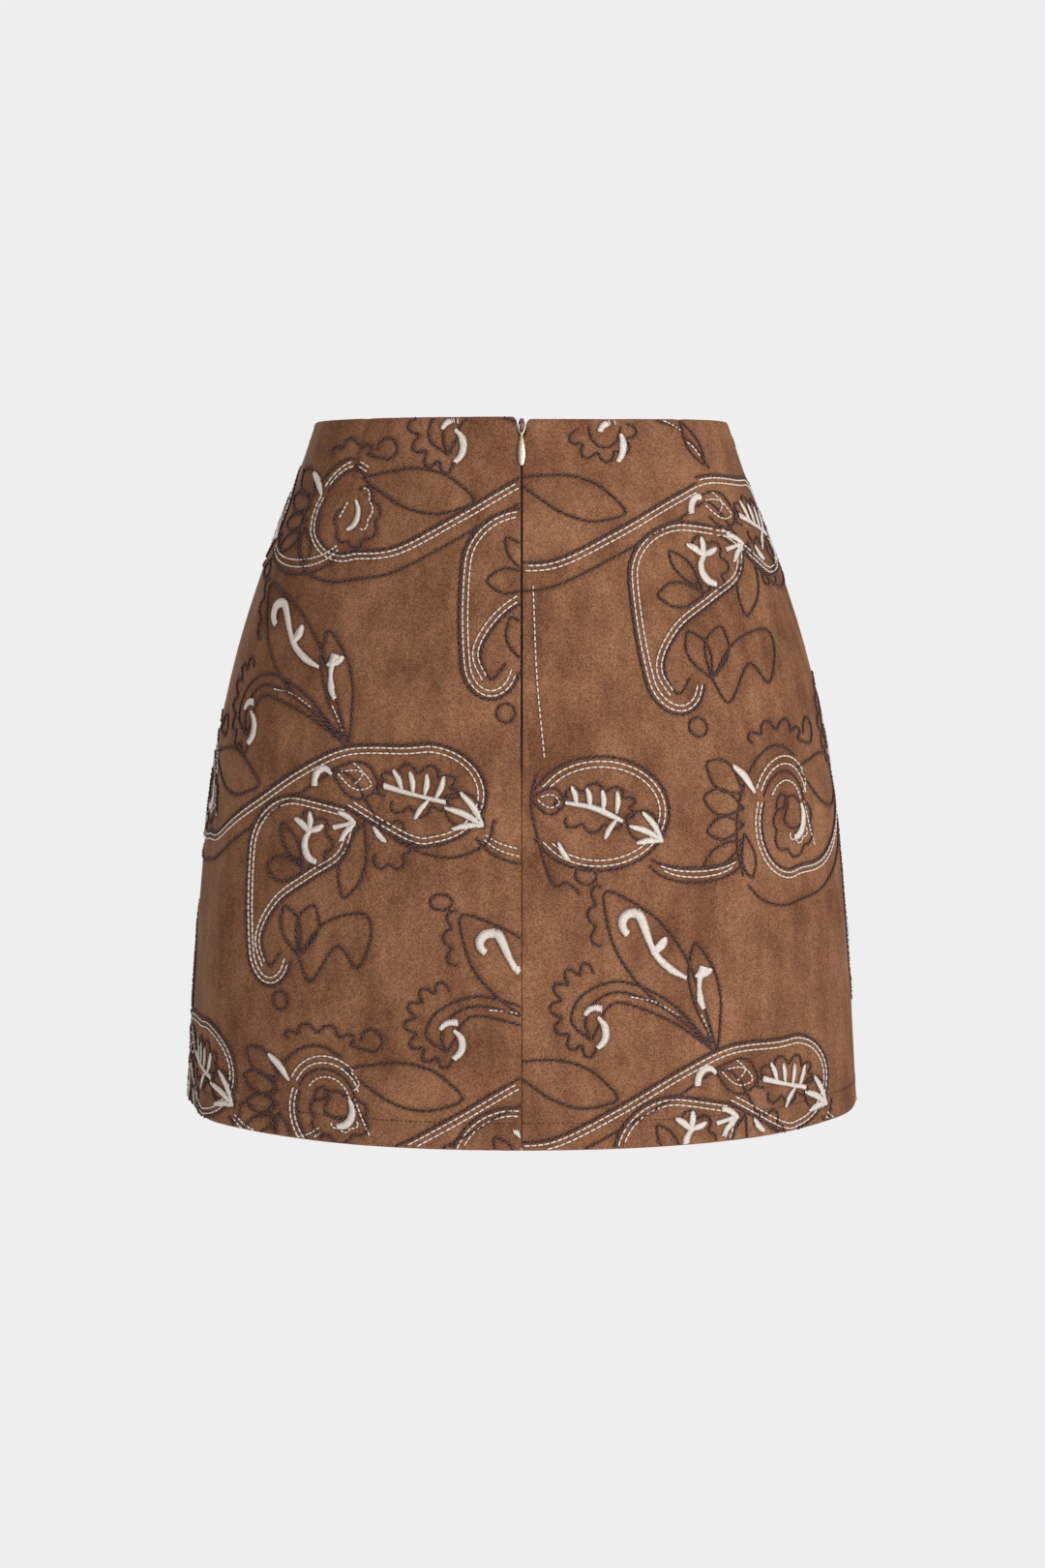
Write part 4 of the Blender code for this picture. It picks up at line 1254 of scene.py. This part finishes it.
def buildPull():
    leaf = drawnForm("pullLeaf", pull["sides"], pull["leaf"])
    knob = drawnForm("pullKnob", pull["sides"], pull["knob"])
    middle = (0, pull["ringDown"], 0)
    bpy.ops.mesh.primitive_torus_add(major_segments=32, minor_segments=10, major_radius=pull["ringHalf"],
                                     minor_radius=pull["ringWire"], location=middle)
    ring = beginPiece("pullRing")
    bpy.ops.object.transform_apply(location=True, rotation=True, scale=True)
    resizeAll((1, pull["ringLong"] / pull["ringHalf"], pull["ringDeep"]), middle)
    bpy.ops.object.shade_smooth()
    made = settle(joinPieces([leaf, knob, ring], "pullTab"), zipPlace, paleBrass)
    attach(made, "pull_tab")
    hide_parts("zip_pull")


slider = {
    # rows down from the pull's pivot: the hidden body, then the crown above the cloth's edges
    "body": [(-3.9, 0.9, 0.9, -4.1), (-3.4, 1.5, 1.3, -4.1), (-1.5, 1.9, 1.4, -4.1), (0.8, 2.2, 1.4, -4.1),
             (3.0, 2.1, 1.35, -4.1), (4.0, 1.9, 1.2, -4.1), (4.3, 1.5, 0.9, -4.1)],
    "crown": [(-4.25, 0.6, 0.5, -2.0), (-4.0, 1.15, 1.0, -1.9), (-3.2, 1.5, 1.5, -1.7),
              (-2.2, 1.25, 1.35, -1.5), (-1.5, 0.8, 1.0, -1.4), (-1.2, 0.5, 0.6, -1.4)],
    "bodySides": 16, "crownSides": 14, "bailWide": 0.55, "bailThick": 0.34, "bailStep": 0.35, "bailSides": 8,
    # the bail's arch from its head over the pull's ring to its foot: down and out
    "bailPath": [(-2.9, -2.9), (-2.85, -0.8), (-2.2, 0.75), (-1.0, 1.25), (0.6, 1.2), (1.9, 0.5), (2.6, -0.9),
                 (2.7, -2.9)],
}


def buildBail():
    # a stamped strip with rounded edges that follows its arch
    path = smoothPath(slider["bailPath"], slider["bailStep"])
    right, sides = pathNormals(path), slider["bailSides"]
    spin = np.arange(sides) * 2 * math.pi / sides
    wide, thick = slider["bailWide"], slider["bailThick"]
    corners = [(wide * math.cos(a), path[k, 0] + right[k, 0] * thick * math.sin(a),
                path[k, 1] + right[k, 1] * thick * math.sin(a)) for k in range(len(path)) for a in spin]
    rings = [[k * sides + j for j in range(sides)] for k in range(len(path))]
    faces = [(here[j], after[j], after[(j + 1) % sides], here[(j + 1) % sides])
             for here, after in zip(rings, rings[1:]) for j in range(sides)]
    bpy.ops.mesh.primitive_circle_add(vertices=sides, radius=1.0, fill_type="NGON")
    bail = beginPiece("sliderBail")
    bail.data.clear_geometry()
    bail.data.from_pydata(corners, [], faces + [rings[0], rings[-1][::-1]])
    bpy.ops.object.mode_set(mode="EDIT")
    faceOutwards()
    bpy.ops.object.shade_smooth()
    return bail


def buildSlider():
    body = drawnForm("sliderBody", slider["bodySides"], slider["body"])
    crown = drawnForm("sliderCrown", slider["crownSides"], slider["crown"])
    made = settle(joinPieces([body, crown, buildBail()], "zipSlider"), zipPlace, paintedZinc)
    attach(made, "skirt")
    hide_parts("zip_slider")


coilSize = {
    "pitch": 1.45, "from": 10.2, "to": 171.5, "deep": 3.0, "aside": 0.45, "toothHalf": 0.78, "wire": 0.32,
    "squash": (1.2, 0.5, 0.9),
}


def coilFinish():
    # dyed nylon monofilament, extruded: satin, slightly clear, uneven in flecks of about 0.7 mm
    made, tree = newMaterial("dyedNylonCoil")
    place = addNode(tree, "TexCoord").outputs["Object"]
    cloud = addNode(tree, "TexNoise", {"Scale": 1400.0, "Detail": 2.0}, {"Vector": place})
    mixed = addNode(tree, "Mix", {"data_type": "RGBA", 6: linearColour("#1B110D"),
                                  7: linearColour("#2A1B15")}, {0: cloud.outputs[0]})
    return dressShader(made, {"Roughness": 0.38}, {"Base Color": mixed.outputs[2]})


def buildTooth():
    # each tooth is a small flattened loop of wire: its points and faces
    bpy.ops.mesh.primitive_torus_add(major_segments=12, minor_segments=5, major_radius=coilSize["toothHalf"],
                                     minor_radius=coilSize["wire"], location=(0, 0, 0))
    tooth = beginPiece("coilTooth")
    resizeAll(coilSize["squash"], (0, 0, 0))
    shape = np.array([v.co[:] for v in tooth.data.vertices])
    faces = np.array([list(f.vertices) for f in tooth.data.polygons])
    bpy.data.objects.remove(tooth)
    return shape, faces


def buildCoil():
    # the tooth is laid down both sides in turn
    shape, faces = buildTooth()
    drops = np.arange(coilSize["from"], coilSize["to"], coilSize["pitch"] / 2)
    side = np.where(np.arange(len(drops)) % 2, 1.0, -1.0)
    angle = fromChart(backChart, side * coilSize["aside"], drops)
    middle, normal = skinPoints(angle, drops, -coilSize["deep"])
    down = unitRows(np.gradient(middle, axis=0))
    across = unitRows(np.cross(down, normal))
    across *= np.sign(across[:, :1])
    points = (middle[:, None] + across[:, None] * shape[None, :, 0, None]
              + down[:, None] * shape[None, :, 1, None] + normal[:, None] * shape[None, :, 2, None])
    flip = np.einsum("ij,ij->i", np.cross(across, down), normal) < 0
    loops = faces[None] + (np.arange(len(drops)) * len(shape))[:, None, None]
    loops = np.where(flip[:, None, None], loops[..., ::-1], loops)
    made = fillMesh("zipCoil", points.reshape(-1, 3), loops.ravel(), np.full(len(drops) * len(faces), 4),
                    [coilFinish()])
    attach(made, "skirt")
    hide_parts("zip_chain")


def tapeFinish():
    # woven polyester tape: a fine herringbone, matt
    made, tree = newMaterial("wovenPolyesterTape")
    place = addNode(tree, "TexCoord").outputs["Object"]
    turned = addNode(tree, "Mapping", {"Rotation": (0, math.radians(38), 0)}, {"Vector": place})
    ribs = addNode(tree, "TexWave", {"Scale": 260.0, "Distortion": 0.6, "Detail": 1.0,
                                     "bands_direction": "X"}, {"Vector": turned.outputs[0]})  # about 1.2 mm
    mixed = addNode(tree, "Mix", {"data_type": "RGBA", 6: linearColour("#241711"),
                                  7: linearColour("#3A261C")}, {0: ribs.outputs["Fac"]})
    bump = addNode(tree, "Bump", {"Strength": 0.4, "Distance": 0.0002}, {"Height": ribs.outputs["Fac"]})
    return dressShader(made, {"Roughness": 0.85}, {"Base Color": mixed.outputs[2], "Normal": bump.outputs[0]})


buildPull()
buildSlider()
buildCoil()
tapeStuff = tapeFinish()
for nodeName in ("zip_tape_left", "zip_tape_right"):
    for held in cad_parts[nodeName].material_slots:
        held.material = tapeStuff
print("zip made")
